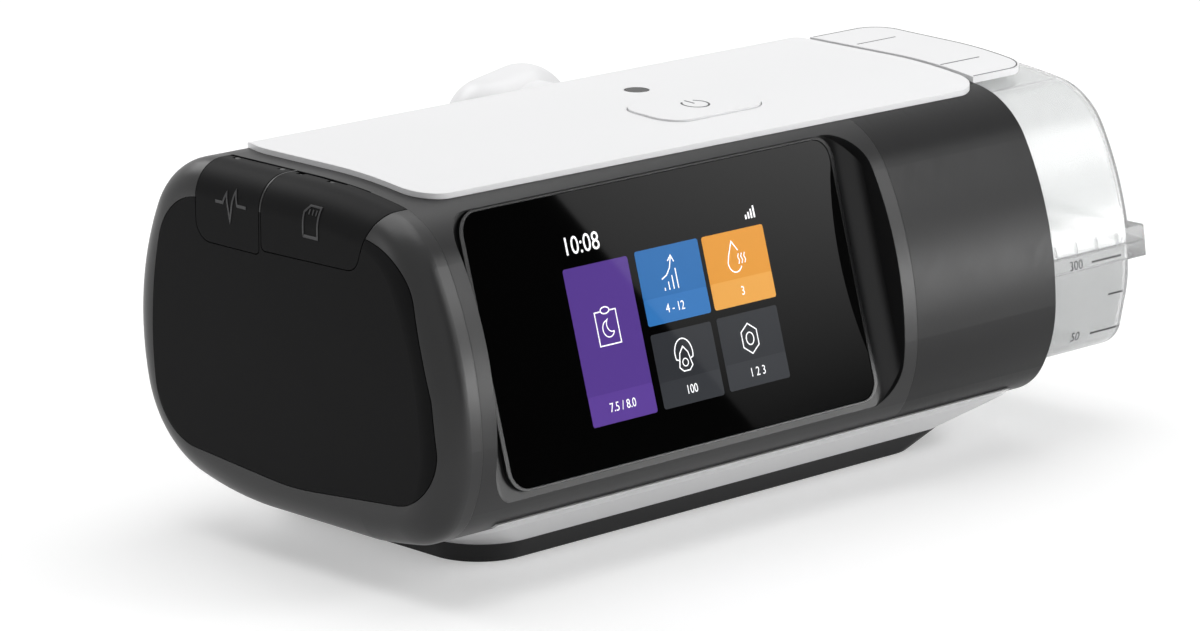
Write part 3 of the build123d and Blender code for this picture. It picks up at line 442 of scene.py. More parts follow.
class Surface(Enum):
    """The finishes on the machine, by what each one is used for."""

    # Satin black: a soft, wide highlight along the barrel's curve.
    SHELL = MouldedPlastic(
        "abs_moulded_satin_black", "#161617", 0.38, grain_mm=0.45, specular=0.4
    )
    # Hairlines crossing on black: the highlight breaks into a faint weave, partly a painted glint in
    # the lines' lighter colour.
    SLEEVE = HairlinePlastic("abs_moulded_hairline_black", "#0e0e0f", "#1e1e1f", 0.38, specular=0.25)
    # Fine black: a little shinier than the barrel, so the rounded rim shows its turn.
    END_CAP = MouldedPlastic("abs_moulded_fine_black", "#121213", 0.34, grain_mm=0.4)
    # Soft-touch lacquer: almost no reflection, the darkest matt face.
    SOFT_TOUCH = MouldedPlastic(
        "abs_soft_touch_lacquered_black", "#0a0a0b", 0.5, grain_mm=0.35, specular=0.09
    )
    # Polished black on matt black: the raised signs catch a thin light line, partly a painted highlight
    # in their dark grey colour.
    SYMBOL = MouldedPlastic(
        "abs_moulded_polished_black_painted_highlight", "#2a2a2c", 0.3, grain_depth_mm=0.001, edge_mm=0.1
    )
    # Gloss white: clean, nearly even white with a slight sheen at its edges.
    WHITE = MouldedPlastic(
        "abs_moulded_gloss_white", "#f1f1f2", 0.3, grain_depth_mm=0.001, tone=0.01, coat=0.1
    )
    # Satin white: a duller white that greys on the side turned down.
    TRAY = MouldedPlastic("abs_moulded_satin_white", "#ececed", 0.38, tone=0.015)
    # Matt black: a flat dark band under the tray.
    FOOT = MouldedPlastic("abs_moulded_matt_black", "#121213", 0.5, specular=0.3)
    # Float glass printed black behind: deep black with sharp mirror images.
    GLASS = PolishedSheet("float_glass_black_printed", "#020202", 0.02)
    # Gloss dark grey: a thin bright line round the glass.
    TRIM = MouldedPlastic(
        "abs_moulded_gloss_grey", "#1e1e1f", 0.26, grain_depth_mm=0.001, specular=0.4
    )
    # Clear polycarbonate: pale and see-through, with darker edges and soft reflections.
    CLEAR = ClearPlastic("polycarbonate_moulded_clear", "#f4f5f5", 0.22, 1.38)
    # Frosted polycarbonate: milky grey, with blurred shapes behind it.
    FROSTED = ClearPlastic("polycarbonate_moulded_frosted", "#dcdddd", 0.2, 1.35, 0.8)
    # Smoked acrylic: a dark dot without a clear reflection.
    SMOKED = PolishedSheet("acrylic_cut_smoked", "#0a0a0b", 0.2, specular=0.2)
    # Silicone: dull, even grey without highlights.
    SILICONE = MouldedPlastic("silicone_moulded_grey", "#a9acae", 0.6, tone=0.04)
    # Rubber: the dullest black, with a deep grain.
    RUBBER = MouldedPlastic("rubber_moulded_black", "#161616", 0.75, grain_depth_mm=0.02)
    # Turned steel: bright, with fine straight lines.
    STEEL = WorkedMetal("steel_turned_bright", "#a8a9ab", 0.28)
    # Drawn wire: a greyer, slightly duller steel.
    WIRE = WorkedMetal("steel_drawn_spring", "#8e8f92", 0.32)
    # Anodised sheet: pale metal with a silky reflection.
    ALUMINIUM = WorkedMetal("aluminium_rolled_anodised", "#b9bbbd", 0.36)
    # Laminate: deep green with a slow, clear mottle.
    LAMINATE = MouldedPlastic(
        "glass_fibre_laminate_green", "#14482a", 0.4, grain_mm=0.8, tone=0.2
    )
    # Nylon: matt black with little contrast.
    NYLON = MouldedPlastic("nylon_moulded_black", "#1f1f20", 0.5)
    # Grey ABS: plain mid grey of inner mouldings.
    GREY_ABS = MouldedPlastic("abs_moulded_grey", "#8a8d91", 0.45, tone=0.04)
    # Nickel plate: a darker and slightly cooler grey than steel.
    NICKEL = WorkedMetal("steel_nickel_plated", "#84858a", 0.3)
    # Enamelled copper: reddish metal with fine lines.
    COPPER = WorkedMetal("copper_wire_enamelled", "#a1582d", 0.35)
    # Polyimide film: shiny amber.
    FILM = MouldedPlastic("polyimide_film_amber", "#b0701d", 0.3, grain_depth_mm=0.0005)
    # Felt: soft off-white with a fibrous surface and painted shade in the hollows between fibres.
    FELT = FibreFelt("electret_felt_white", "#dededa")
    # Lit tiles: flat, faintly glowing colours, each with a slightly lighter foot.
    VIOLET = PolishedSheet("display_tile_violet", "#5d4196", 0.02, glow=0.08)
    BLUE = PolishedSheet("display_tile_blue", "#2f74b8", 0.02, glow=0.08)
    AMBER = PolishedSheet("display_tile_amber", "#f0a23c", 0.02, glow=0.06)
    SLATE = PolishedSheet("display_tile_slate", "#36383c", 0.02, glow=0.08)
    VIOLET_BAND = PolishedSheet("display_band_violet", "#6547a0", 0.02, glow=0.08)
    BLUE_BAND = PolishedSheet("display_band_blue", "#377cc2", 0.02, glow=0.08)
    AMBER_BAND = PolishedSheet("display_band_amber", "#f3ad50", 0.02, glow=0.1)
    SLATE_BAND = PolishedSheet("display_band_slate", "#3d3f43", 0.02, glow=0.08)
    # Lit lines: the brightest spots on the screen.
    LIT_WHITE = PolishedSheet("display_lines_white", "#f4f4f6", 0.02, glow=0.6)
    # Pad-printed ink: thin, even dark grey. The same grey paints the shade in the gap round the latch
    # plate.
    GREY_INK = MouldedPlastic(
        "ink_printed_grey_and_gap_shade", "#434446", 0.5, grain_depth_mm=0.0, edge_mm=0.05
    )

    def material(self) -> bpy.types.Material:
        """Gives this finish's material, made the first time that it is asked for."""
        finish: Finish = self.value
        return bpy.data.materials.get(finish.name) or finish.build()


NODE_SURFACES: dict[Surface, tuple[str, ...]] = {
    Surface.SHELL: ("front_housing", "rear_housing", "filter_cover"),
    Surface.SLEEVE: ("humidifier_cover",),
    Surface.END_CAP: ("end_cap",),
    Surface.SOFT_TOUCH: ("end_cap_panel", "pulse_port_flap", "card_slot_flap"),
    Surface.WHITE: ("top_cover", "power_button", "latch_plate", "outlet_elbow"),
    Surface.TRAY: ("lower_chassis",),
    Surface.FOOT: ("base_foot",),
    Surface.GLASS: ("display_glass",),
    Surface.TRIM: ("screen_trim",),
    Surface.CLEAR: ("tank_lid",),
    Surface.FROSTED: ("water_tub",),
    Surface.SMOKED: ("sensor_window",),
    Surface.SILICONE: ("dock_seals", "tank_seal", "blower_mounts"),
    Surface.RUBBER: ("rubber_feet", "display_gasket"),
    Surface.STEEL: (
        "base_screws", "board_screws", "flap_hinge_pins", "motor_bearings", "blower_shaft",
        "card_socket",
    ),
    Surface.WIRE: ("button_spring", "latch_spring", "heater_springs"),
    Surface.ALUMINIUM: ("heater_plate", "tank_base_plate"),
    Surface.LAMINATE: ("main_board", "port_board", "top_board"),
    Surface.NYLON: (
        "pulse_socket", "tact_switch", "bay_partition", "heater_frame", "flow_sensor",
        "impeller", "outlet_socket", "filter_frame", "power_inlet", "speaker",
    ),
    Surface.GREY_ABS: (
        "lcd_module", "display_bracket", "blower_volute", "air_duct", "blower_base",
        "outlet_plenum",
    ),
    Surface.NICKEL: ("motor_can", "motor_magnet"),
    Surface.COPPER: ("motor_stator",),
    Surface.FILM: ("display_ribbon",),
    Surface.FELT: ("air_filter",),
}


# ------------------------------------------------------------------ faces that carry art
@dataclass
class Skin:
    """The faces of some solids, found by looking at them along one direction."""

    solids: Sequence[bpy.types.Object]
    towards: tuple[float, float, float]
    tree: BVHTree = field(init=False)

    def __post_init__(self) -> None:
        """Gathers the faces."""
        corners: list[Vector] = []
        faces: list[Face] = []
        for solid in self.solids:
            first = len(corners)
            corners += [solid.matrix_world @ corner.co for corner in solid.data.vertices]
            faces += [tuple(first + i for i in face.vertices) for face in solid.data.polygons]
        self.tree = BVHTree.FromPolygons(corners, faces)

    def point(self, start: Vector, lift: float) -> Vector:
        """Finds the first face from a point.

        Args:
            start: Point in front of the face, in metres.
            lift: Distance to stop before the face, in millimetres.

        Returns:
            The point in front of the face, in metres.
        """
        way = Vector(self.towards).normalized()
        struck = self.tree.ray_cast(start, way)[0]
        if struck is None:
            raise ValueError(f"no face is seen from {tuple(start)}")
        return struck - way * lift * MM


# ------------------------------------------------------------------ flat art on a surface
Carrier = Callable[[float, float, float], Vector]


@dataclass
class Relief:
    """Flat outlines in millimetres that are laid on a surface as a thin closed piece."""

    points: list[Point] = field(default_factory=list)
    faces: list[Face] = field(default_factory=list)

    def ribbon(self, line: Sequence[Point], width: float, closed: bool = False) -> None:
        """Adds a line of even width, mitred at its corners.

        Args:
            line: Points along its middle.
            width: Width of the line.
            closed: True if its end joins its start.
        """
        count = len(line)
        first = len(self.points)
        for index, (x, y) in enumerate(line):
            before = Vector(line[index - 1] if index or closed else line[0])
            after = Vector(line[(index + 1) % count] if index < count - 1 or closed else line[-1])
            here = Vector((x, y))
            into = (here - before).normalized() if here != before else (after - here).normalized()
            out = (after - here).normalized() if after != here else into
            mitre = Vector((-(into + out).y, (into + out).x)).normalized()
            reach = width / 2 / max(0.4, mitre.dot(Vector((-into.y, into.x))))
            self.points += [tuple(here + mitre * reach), tuple(here - mitre * reach)]
        for index in range(count if closed else count - 1):
            low = first + 2 * index
            high = first + 2 * ((index + 1) % count)
            self.faces.append((low, low + 1, high + 1, high))

    def rectangle(self, low: Point, high: Point, corner: float, step: float = 4.0) -> None:
        """Adds a rounded rectangle, cut into strips so that it can follow a curve.

        Args:
            low: Lowest corner.
            high: Highest corner.
            corner: Radius of its corners.
            step: Longest strip.
        """
        rows: list[Point] = []
        for index in range(CORNER_TURNS + 1):
            angle = math.pi / 2 * index / CORNER_TURNS
            rows.append((low[1] + corner * (1 - math.cos(angle)), corner * (1 - math.sin(angle))))
        inner = high[1] - low[1] - 2 * corner
        strips = max(1, round(inner / step))
        for index in range(1, strips):
            rows.append((low[1] + corner + inner * index / strips, 0.0))
        for index in range(CORNER_TURNS, -1, -1):
            angle = math.pi / 2 * index / CORNER_TURNS
            rows.append((high[1] - corner * (1 - math.cos(angle)), corner * (1 - math.sin(angle))))
        first = len(self.points)
        for height, inset in rows:
            self.points += [(low[0] + inset, height), (high[0] - inset, height)]
        for index in range(len(rows) - 1):
            at = first + 2 * index
            self.faces.append((at, at + 1, at + 3, at + 2))

    def lettering(self, words: str, centre: Point, height: float, stretch: float = 1.0) -> None:
        """Adds plain figures, centred on a point.

        Args:
            words: Figures to draw.
            centre: Middle of the line.
            height: Height of a figure.
            stretch: Width of a figure against its usual width.
        """
        curve = bpy.data.curves.new("figures", "FONT")
        curve.body = words
        curve.align_x = "CENTER"
        curve.align_y = "CENTER"
        curve.size = height / FIGURE_SHARE
        curve.resolution_u = FIGURE_CURVE
        carrier = bpy.data.objects.new("figures", curve)
        mesh = bpy.data.meshes.new_from_object(carrier)
        first = len(self.points)
        self.points += [
            (centre[0] + corner.co.x * stretch, centre[1] + corner.co.y) for corner in mesh.vertices
        ]
        for face in mesh.polygons:
            self.faces.append(tuple(first + index for index in face.vertices))
        bpy.data.meshes.remove(mesh)
        bpy.data.objects.remove(carrier)
        bpy.data.curves.remove(curve)

    def build(
        self, name: str, carrier: Carrier, low: float, high: float, finish: Surface
    ) -> bpy.types.Object:
        """Lays the outlines on a surface as one closed mesh.

        Args:
            name: Name of the piece.
            carrier: Turns a place and a lift in millimetres into a point.
            low: Lift of the underside.
            high: Lift of the upper side.
            finish: Finish of the piece.

        Returns:
            The new object, in the scene.
        """
        flat = bmesh.new()
        corners = [flat.verts.new((x, y, 0.0)) for x, y in self.points]
        for face in self.faces:
            ring = [corners[index] for index in face]
            if len(set(ring)) > 2 and not flat.faces.get(ring):
                flat.faces.new(ring)
        bmesh.ops.remove_doubles(flat, verts=flat.verts[:], dist=1e-5)
        bmesh.ops.dissolve_degenerate(flat, dist=1e-6, edges=flat.edges[:])
        bmesh.ops.recalc_face_normals(flat, faces=flat.faces[:])
        for face in flat.faces:
            if face.normal.z < 0:
                face.normal_flip()
        raised = bmesh.ops.extrude_face_region(flat, geom=flat.faces[:])
        for item in raised["geom"]:
            if isinstance(item, bmesh.types.BMVert):
                item.co.z = 1.0
        for corner in flat.verts:
            lift = high if corner.co.z > 0.5 else low
            corner.co = carrier(corner.co.x, corner.co.y, lift)
        bmesh.ops.recalc_face_normals(flat, faces=flat.faces[:])
        mesh = bpy.data.meshes.new(name)
        flat.to_mesh(mesh)
        flat.free()
        mesh.materials.append(finish.material())
        piece = bpy.data.objects.new(name, mesh)
        bpy.context.scene.collection.objects.link(piece)
        return piece


def arc_points(centre: Point, radius: Point, start: float, end: float, count: int) -> list[Point]:
    """Gives points along an ellipse.

    Args:
        centre: Middle of the ellipse.
        radius: Half its width and half its height.
        start: First angle, in degrees.
        end: Last angle, in degrees.
        count: Number of points.

    Returns:
        The points, from the first angle to the last.
    """
    return [
        (
            centre[0] + radius[0] * math.cos(math.radians(start + (end - start) * i / (count - 1))),
            centre[1] + radius[1] * math.sin(math.radians(start + (end - start) * i / (count - 1))),
        )
        for i in range(count)
    ]


def shifted(shape: Sequence[Point], x: float, y: float) -> list[Point]:
    """Moves a shape's points by (x, y)."""
    return [(x + across, y + up) for across, up in shape]


def dense(line: Sequence[Point], step: float) -> list[Point]:
    """Adds points along a line so that it can follow a curved face.

    Args:
        line: Corners of the line.
        step: Longest distance between two points.

    Returns:
        The corners and the points between them.
    """
    points = [line[0]]
    for start, end in zip(line, line[1:]):
        count = max(1, math.ceil(math.dist(start, end) / step))
        for index in range(1, count + 1):
            share = index / count
            points.append(tuple(a + (b - a) * share for a, b in zip(start, end)))
    return points


def front_carrier(solids: Sequence[bpy.types.Object]) -> Carrier:
    """Gives the way onto the front faces of some solids, from (x, z) and a lift."""
    skin = Skin(solids, (0.0, 1.0, 0.0))
    return lambda x, z, lift: skin.point(Vector((x * MM, IN_FRONT, z * MM)), lift)


def place_piece(piece: bpy.types.Object, body: str) -> bpy.types.Object:
    """Lets a finished piece ride on a body.

    Args:
        piece: Piece in its place.
        body: Body that carries it.

    Returns:
        The same piece.
    """
    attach(piece, body)
    LOG.info("%s rides on %s", piece.name, body)
    return piece


# ------------------------------------------------------------------ sub-assemblies
@dataclass
class Casing:
    """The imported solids, dressed in their finishes."""

    nodes: Mapping[str, bpy.types.Object]

    def dress(self) -> None:
        """Gives each solid its finish."""
        for surface, names in NODE_SURFACES.items():
            for name in names:
                mesh = self.nodes[name].data
                mesh.materials.clear()
                mesh.materials.append(surface.material())
                mesh.polygons.foreach_set("material_index", [0] * len(mesh.polygons))
                LOG.info("%s is finished in %s", name, surface.value.name)


@dataclass(frozen=True)
class Tile:
    """One tile of the screen: its corners, the height of its foot and its finishes."""

    name: str
    low: Point
    high: Point
    foot: float
    body: Surface
    edge: Surface


@dataclass(frozen=True)
class Figures:
    """One line of figures: the words, the middle, the height and the width's stretch."""

    words: str
    centre: Point
    height: float = 2.6
    stretch: float = 0.85


@dataclass
class ScreenFace:
    """What the lit screen shows: a clock, signal bars and five tiles."""

    middle: Point = (-61.18, 66.13)  # The glass's middle along Y and Z.
    tilt_deg: float = 16.4
    line: float = 0.36
    fine: float = 0.85
    crescent: float = 0.9
    corner: float = 0.8
    tile_lift: tuple[float, float] = (0.02, 0.06)
    band_lift: tuple[float, float] = (0.05, 0.08)
    ink_lift: tuple[float, float] = (0.07, 0.11)
    tiles: tuple[Tile, ...] = (
        Tile("violet", (-58.7, -27.3), (-33.5, 17.9), 8.6, Surface.VIOLET, Surface.VIOLET_BAND),
        Tile("blue", (-30.6, -3.3), (-5.4, 18.4), 7.6, Surface.BLUE, Surface.BLUE_BAND),
        Tile("amber", (-3.8, -3.2), (21.3, 18.3), 7.6, Surface.AMBER, Surface.AMBER_BAND),
        Tile("slate_left", (-30.7, -27.2), (-6.5, -5.7), 7.6, Surface.SLATE, Surface.SLATE_BAND),
        Tile("slate_right", (-4.2, -26.9), (20.5, -5.5), 7.6, Surface.SLATE, Surface.SLATE_BAND),
    )
    figures: tuple[Figures, ...] = (
        Figures("10:08", (-49.9, 23.8), 5.2, 0.88),
        Figures("7.5 / 8.0", (-46.1, -23.0)),
        Figures("4 - 12", (-18.9, 0.6)),
        Figures("3", (8.6, 0.6)),
        Figures("100", (-18.7, -23.3)),
        Figures("1 2 3", (8.2, -23.0)),
    )
    bar_heights: tuple[float, ...] = (1.3, 2.0, 2.7, 3.5)
    bar_start: Point = (15.4, 20.6)
    bar_pitch: float = 1.15
    bar_width: float = 0.62
    icon_places: tuple[Point, ...] = (
        (-46.0, -0.5), (-19.0, 10.3), (8.2, 10.4), (-19.2, -13.2), (7.6, -13.2)
    )

    def point(self, x: float, y: float, lift: float) -> Vector:
        """Gives a point on the screen.

        Args:
            x: Place across the machine, from its middle, in millimetres.
            y: Place up the screen, from the glass's middle, in millimetres.
            lift: Distance in front of the glass, in millimetres.

        Returns:
            The point in metres.
        """
        tilt = math.radians(self.tilt_deg)
        up = Vector((0.0, math.sin(tilt), math.cos(tilt)))
        out = Vector((0.0, -math.cos(tilt), math.sin(tilt)))
        base = Vector((x, *self.middle))
        return (base + up * y + out * lift) * MM

    def _lay(self, art: Relief, name: str, lift: tuple[float, float], finish: Surface) -> None:
        """Lays art on the glass.

        Args:
            art: Outlines to lay.
            name: Name of the piece.
            lift: Lift of its underside and of its upper side.
            finish: Finish of the piece.
        """
        place_piece(art.build(name, self.point, *lift, finish), "machine")

    def _tile(self, tile: Tile) -> None:
        """Adds a tile and the lighter band along its foot."""
        body = Relief()
        body.rectangle(tile.low, tile.high, self.corner)
        self._lay(body, f"tile_{tile.name}", self.tile_lift, tile.body)
        band = Relief()
        band.rectangle(tile.low, (tile.high[0], tile.low[1] + tile.foot), self.corner)
        self._lay(band, f"band_{tile.name}", self.band_lift, tile.edge)

    def _report_icon(self, art: Relief, x: float, y: float) -> None:
        """Draws a clipboard with a crescent at (x, y)."""
        board = [(-1.9, 4.6), (-4.1, 4.6), (-4.1, -5.0), (4.1, -5.0), (4.1, 4.6), (1.9, 4.6)]
        art.ribbon(shifted(board, x, y), self.line)
        art.ribbon(arc_points((x, y + 4.8), (1.7, 0.95), 0, 345, 18), self.line, closed=True)
        outer = arc_points((x + 0.2, y - 0.5), (2.2, 2.4), 95, 330, 16)
        inner = arc_points((x + 1.6, y + 0.6), (1.9, 2.1), 285, 130, 12)
        art.ribbon(outer + inner, self.line * self.crescent, closed=True)

    def _rise_icon(self, art: Relief, x: float, y: float) -> None:
        """Draws rising bars under an arrow at (x, y)."""
        for index, height in enumerate((0.9, 2.4, 4.0, 5.8)):
            left = x - 2.4 + 1.75 * index
            art.ribbon([(left, y - 4.6), (left, y - 4.6 + height)], self.line)
        shaft = [(-3.0, -1.2), (-0.9, -0.3), (0.8, 1.6), (1.9, 4.6)]
        art.ribbon(shifted(shaft, x, y), self.line)
        tip = [(0.5, 3.6), (2.0, 5.0), (2.9, 3.1)]
        art.ribbon(shifted(tip, x, y), self.line)

    def _drop_icon(self, art: Relief, x: float, y: float) -> None:
        """Draws a drop beside rising steam at (x, y)."""
        belly = arc_points((x - 0.6, y - 1.2), (2.7, 2.9), 175, 330, 14)
        art.ribbon([(x + 1.4, y + 2.0), (x - 0.6, y + 4.9), (x - 2.6, y + 1.0)] + belly, self.line)
        for index in range(3):
            left = x + 0.9 + 1.25 * index
            wisp = [(0.0, -1.9), (0.45, -0.9), (0.0, 0.1), (0.45, 1.1)]
            art.ribbon(shifted(wisp, left, y), self.line * self.fine)

    def _mask_icon(self, art: Relief, x: float, y: float) -> None:
        """Draws the outline of a breathing mask with its straps at (x, y)."""
        shell = [
            (-2.6, -3.4), (-1.6, 0.6), (0.0, 2.4), (1.6, 0.6), (2.6, -3.4), (1.2, -4.6), (-1.2, -4.6)
        ]
        art.ribbon(shifted(shell, x, y), self.line, closed=True)
        art.ribbon(arc_points((x, y - 2.2), (1.1, 1.1), 0, 345, 16), self.line * self.fine, closed=True)
        art.ribbon(arc_points((x, y + 0.4), (3.5, 4.3), 200, -20, 20), self.line)
        for side in (-1, 1):
            art.ribbon([(x + 3.3 * side, y - 1.0), (x + 2.1 * side, y - 1.4)], self.line)

    def _nut_icon(self, art: Relief, x: float, y: float) -> None:
        """Draws a hexagon nut at (x, y)."""
        art.ribbon(arc_points((x, y), (3.6, 4.4), 90, 390, 6), self.line, closed=True)
        art.ribbon(arc_points((x, y), (1.5, 1.8), 0, 345, 18), self.line, closed=True)

    def _bars(self) -> Relief:
        """Draws the signal bars."""
        art = Relief()
        left, foot = self.bar_start
        for index, height in enumerate(self.bar_heights):
            x = left + self.bar_pitch * index
            art.ribbon([(x, foot), (x, foot + height)], self.bar_width)
        return art

    def build(self) -> None:
        """Builds the tiles, icons, figures and bars."""
        for tile in self.tiles:
            self._tile(tile)
        icons = Relief()
        drawn = (
            self._report_icon, self._rise_icon, self._drop_icon, self._mask_icon, self._nut_icon
        )
        for draw, (x, y) in zip(drawn, self.icon_places):
            draw(icons, x, y)
        self._lay(icons, "screen_icons", self.ink_lift, Surface.LIT_WHITE)
        figures = Relief()
        for line in self.figures:
            figures.lettering(line.words, line.centre, line.height, line.stretch)
        self._lay(figures, "screen_figures", self.ink_lift, Surface.LIT_WHITE)
        self._lay(self._bars(), "signal_bars", self.ink_lift, Surface.LIT_WHITE)


@dataclass
class TopMarks:
    """Marks on the white top: the power symbol, the latch plate's grip lines and a painted shade line
    in the gap round the latch plate.
    """

    nodes: Mapping[str, bpy.types.Object]
    button: Point = (30.8, -19.0)
    symbol_radius: float = 4.1
    symbol_line: float = 0.62
    grip_lines: tuple[tuple[float, float, float], ...] = ((131.2, 148.7, 10.3), (129.5, 147.0, -26.5))
    grip_line: float = 0.5
    plate_ends: Point = (129.6, 129.6)
    plate_front: tuple[float, Point] = (-39.9, (146.2, -31.5))
    plate_rear: tuple[float, Point] = (27.7, (149.75, 19.3))
    plate_corner: float = 8.4
    plate_lean_deg: float = 4.0
    # Width of the painted shade line that stands for the gap round the latch plate.
    plate_shade_line: float = 0.4
    ring_deg: Point = (124.0, 416.0)
    ring_points: int = 34
    stroke: tuple[float, ...] = (0.4, 2.4, 4.6)
    grip_steps: int = 8
    edge_points: int = 7
    edge_step: float = 2.0
    symbol_lift: tuple[float, float] = (-0.02, 0.03)
    grip_lift: tuple[float, float] = (-0.02, 0.04)

    def _carrier(self, solid: str) -> Carrier:
        """Gives the way onto the upper face of a solid.

        Args:
            solid: Node that carries the mark.

        Returns:
            A function from a place (x, y) and a lift in millimetres to a point.
        """
        skin = Skin([self.nodes[solid]], (0.0, 0.0, -1.0))
        return lambda x, y, lift: skin.point(Vector((x * MM, y * MM, ABOVE)), lift)

    def build(self) -> None:
        """Builds the marks."""
        x, y = self.button
        symbol = Relief()
        ring = (self.symbol_radius, self.symbol_radius)
        symbol.ribbon(arc_points((x, y), ring, *self.ring_deg, self.ring_points), self.symbol_line)
        symbol.ribbon([(x, y + up) for up in self.stroke], self.symbol_line)
        place_piece(
            symbol.build(
                "power_symbol", self._carrier("power_button"), *self.symbol_lift, Surface.GREY_INK
            ),
            "power_button",
        )
        lines = Relief()
        for low, high, place in self.grip_lines:
            steps = [(high - low) * i / self.grip_steps for i in range(self.grip_steps + 1)]
            lines.ribbon([(low + along, place) for along in steps], self.grip_line)
        # The line round the plate's edge is painted shade: the shadow in the gap between the plate and
        # the lid, laid as grey ink.
        (front, near), (rear, far) = self.plate_front, self.plate_rear
        round_corner = (self.plate_corner, self.plate_corner)
        edge = [(self.plate_ends[0], front)]
        edge += arc_points(near, round_corner, -90.0, -self.plate_lean_deg, self.edge_points)
        edge += arc_points(far, round_corner, -self.plate_lean_deg, 90.0, self.edge_points)
        edge += [(self.plate_ends[1], rear)]
        lines.ribbon(dense(edge, self.edge_step), self.plate_shade_line)
        place_piece(
            lines.build(
                "latch_grips_and_gap_shade", self._carrier("latch_plate"), *self.grip_lift, Surface.GREY_INK
            ),
            "latch",
        )


@dataclass
class FlapSymbols:
    """Raised pictograms on the two port flaps."""

    nodes: Mapping[str, bpy.types.Object]
    line: float = 0.6
    lift: tuple[float, float] = (-0.1, 0.2)
    pulse_centre: Point = (12.4, -3.0)
    card_centre: Point = (-21.5, -2.0)
    corner: tuple[float, float] = (-121.5, 105.0)
    back_off: float = 30.0
    step: float = 0.8
    contact_line: float = 0.7

    def _carrier(self, solid: str) -> Carrier:
        """Gives the way onto a flap, seen from above and outside at 45 degrees.

        Args:
            solid: Flap that carries the pictogram.

        Returns:
            A function from a place (across, up) and a lift in millimetres to a point.
        """
        half = math.sqrt(0.5)
        skin = Skin([self.nodes[solid]], (half, 0.0, -half))
        x, z = self.corner

        def point(across: float, up: float, lift: float) -> Vector:
            """Gives the point on the flap for a place and a lift."""
            along = half * (up - self.back_off)
            rise = half * (up + self.back_off)
            return skin.point(Vector((x + along, across, z + rise)) * MM, lift)

        return point

    def build(self) -> None:
        """Builds both pictograms."""
        y, up = self.pulse_centre
        beat = [(6.6, 0.0), (3.4, 0.0), (2.2, 2.4), (0.4, -3.4), (-1.4, 3.4), (-2.8, 0.0), (-6.6, 0.0)]
        wave = Relief()
        wave.ribbon(dense(shifted(beat, y, up), self.step), self.line)
        place_piece(
            wave.build("pulse_symbol", self._carrier("pulse_port_flap"), *self.lift, Surface.SYMBOL),
            "pulse_flap",
        )
        y, up = self.card_centre
        outline = [(3.0, -3.6), (3.0, 1.6), (1.2, 3.6), (-3.0, 3.6), (-3.0, -3.6), (3.0, -3.6)]
        card = Relief()
        card.ribbon(dense(shifted(outline, y, up), self.step), self.line)
        for across in (1.0, -0.4, -1.8):
            contact = [(y + across, up + 1.2), (y + across, up + 2.6)]
            card.ribbon(contact, self.line * self.contact_line)
        place_piece(
            card.build("card_symbol", self._carrier("card_slot_flap"), *self.lift, Surface.SYMBOL),
            "card_flap",
        )


@dataclass
class ChamberMarks:
    """Level marks on the water tub and the ribs along the chamber's rim."""

    nodes: Mapping[str, bpy.types.Object]
    levels: tuple[tuple[float, float, float], ...] = (
        (148.9, 162.4, 53.8),
        (160.3, 167.0, 41.2),
        (154.7, 168.6, 29.4),
    )
    level_line: float = 0.6
    figures: tuple[tuple[str, Point], ...] = (("300", (141.6, 53.8)), ("50", (147.7, 29.4)))
    figure: float = 2.9
    ribs: tuple[float, ...] = (132.5, 142.0, 151.5, 160.8)
    rib: tuple[float, float] = (56.9, 60.9)
    level_step: float = 2.0
    rib_step: float = 1.0
    mark_lift: tuple[float, float] = (-0.02, 0.06)
    rib_lift: tuple[float, float] = (-0.1, 0.5)

    def build(self) -> None:
        """Builds the marks, their figures and the ribs."""
        marks = Relief()
        for low, high, height in self.levels:
            marks.ribbon(dense([(low, height), (high, height)], self.level_step), self.level_line)
        for words, centre in self.figures:
            marks.lettering(words, centre, self.figure)
        place_piece(
            marks.build(
                "level_marks", front_carrier([self.nodes["water_tub"]]), *self.mark_lift,
                Surface.GREY_INK,
            ),
            "tank",
        )
        ribs = Relief()
        for place in self.ribs:
            line = [(place, self.rib[0]), (place, self.rib[1])]
            ribs.ribbon(dense(line, self.rib_step), self.level_line)
        place_piece(
            ribs.build(
                "rim_ribs", front_carrier([self.nodes["tank_lid"]]), *self.rib_lift, Surface.CLEAR
            ),
            "tank",
        )


@dataclass
class TrayLip:
    """The tray's bright upper lip, which hugs the shells above it."""

    nodes: Mapping[str, bpy.types.Object]
    shells: tuple[str, ...] = ("front_housing", "humidifier_cover")
    ends: Point = (-94.0, 118.0)
    face: tuple[float, float] = (15.6, 5.0)
    bead: tuple[float, float] = (17.9, 1.3)
    face_lift: tuple[float, float] = (-0.3, 0.4)
    bead_lift: tuple[float, float] = (-0.3, 1.1)
    step: float = 3.0

    def build(self) -> None:
        """Builds the lip's face and the bead along its top."""
        carrier = front_carrier([self.nodes[name] for name in self.shells])
        for name, (height, width), lift in (
            ("tray_lip_face", self.face, self.face_lift),
            ("tray_lip_bead", self.bead, self.bead_lift),
        ):
            strip = Relief()
            line = dense([(self.ends[0], height), (self.ends[1], height)], self.step)
            strip.ribbon(line, width)
            place_piece(strip.build(name, carrier, *lift, Surface.TRAY), "machine")


# ------------------------------------------------------------------ stage
@dataclass(frozen=True)
class Softbox:
    """A rectangular lamp behind diffusing cloth."""

    name: str
    place: tuple[float, float, float]
    aim: tuple[float, float, float]
    size: tuple[float, float]
    power: float
    glossy: bool = True

    def build(self) -> None:
        """Hangs the lamp."""
        lamp = bpy.data.lights.new(self.name, "AREA")
        lamp.shape = "RECTANGLE"
        lamp.size, lamp.size_y = self.size
        lamp.energy = self.power
        holder = bpy.data.objects.new(self.name, lamp)
        holder.location = self.place
        aim = Vector(self.aim) - Vector(self.place)
        holder.rotation_euler = aim.to_track_quat("-Z", "Y").to_euler()
        holder.visible_glossy = self.glossy
        holder.visible_camera = False
        bpy.context.scene.collection.objects.link(holder)


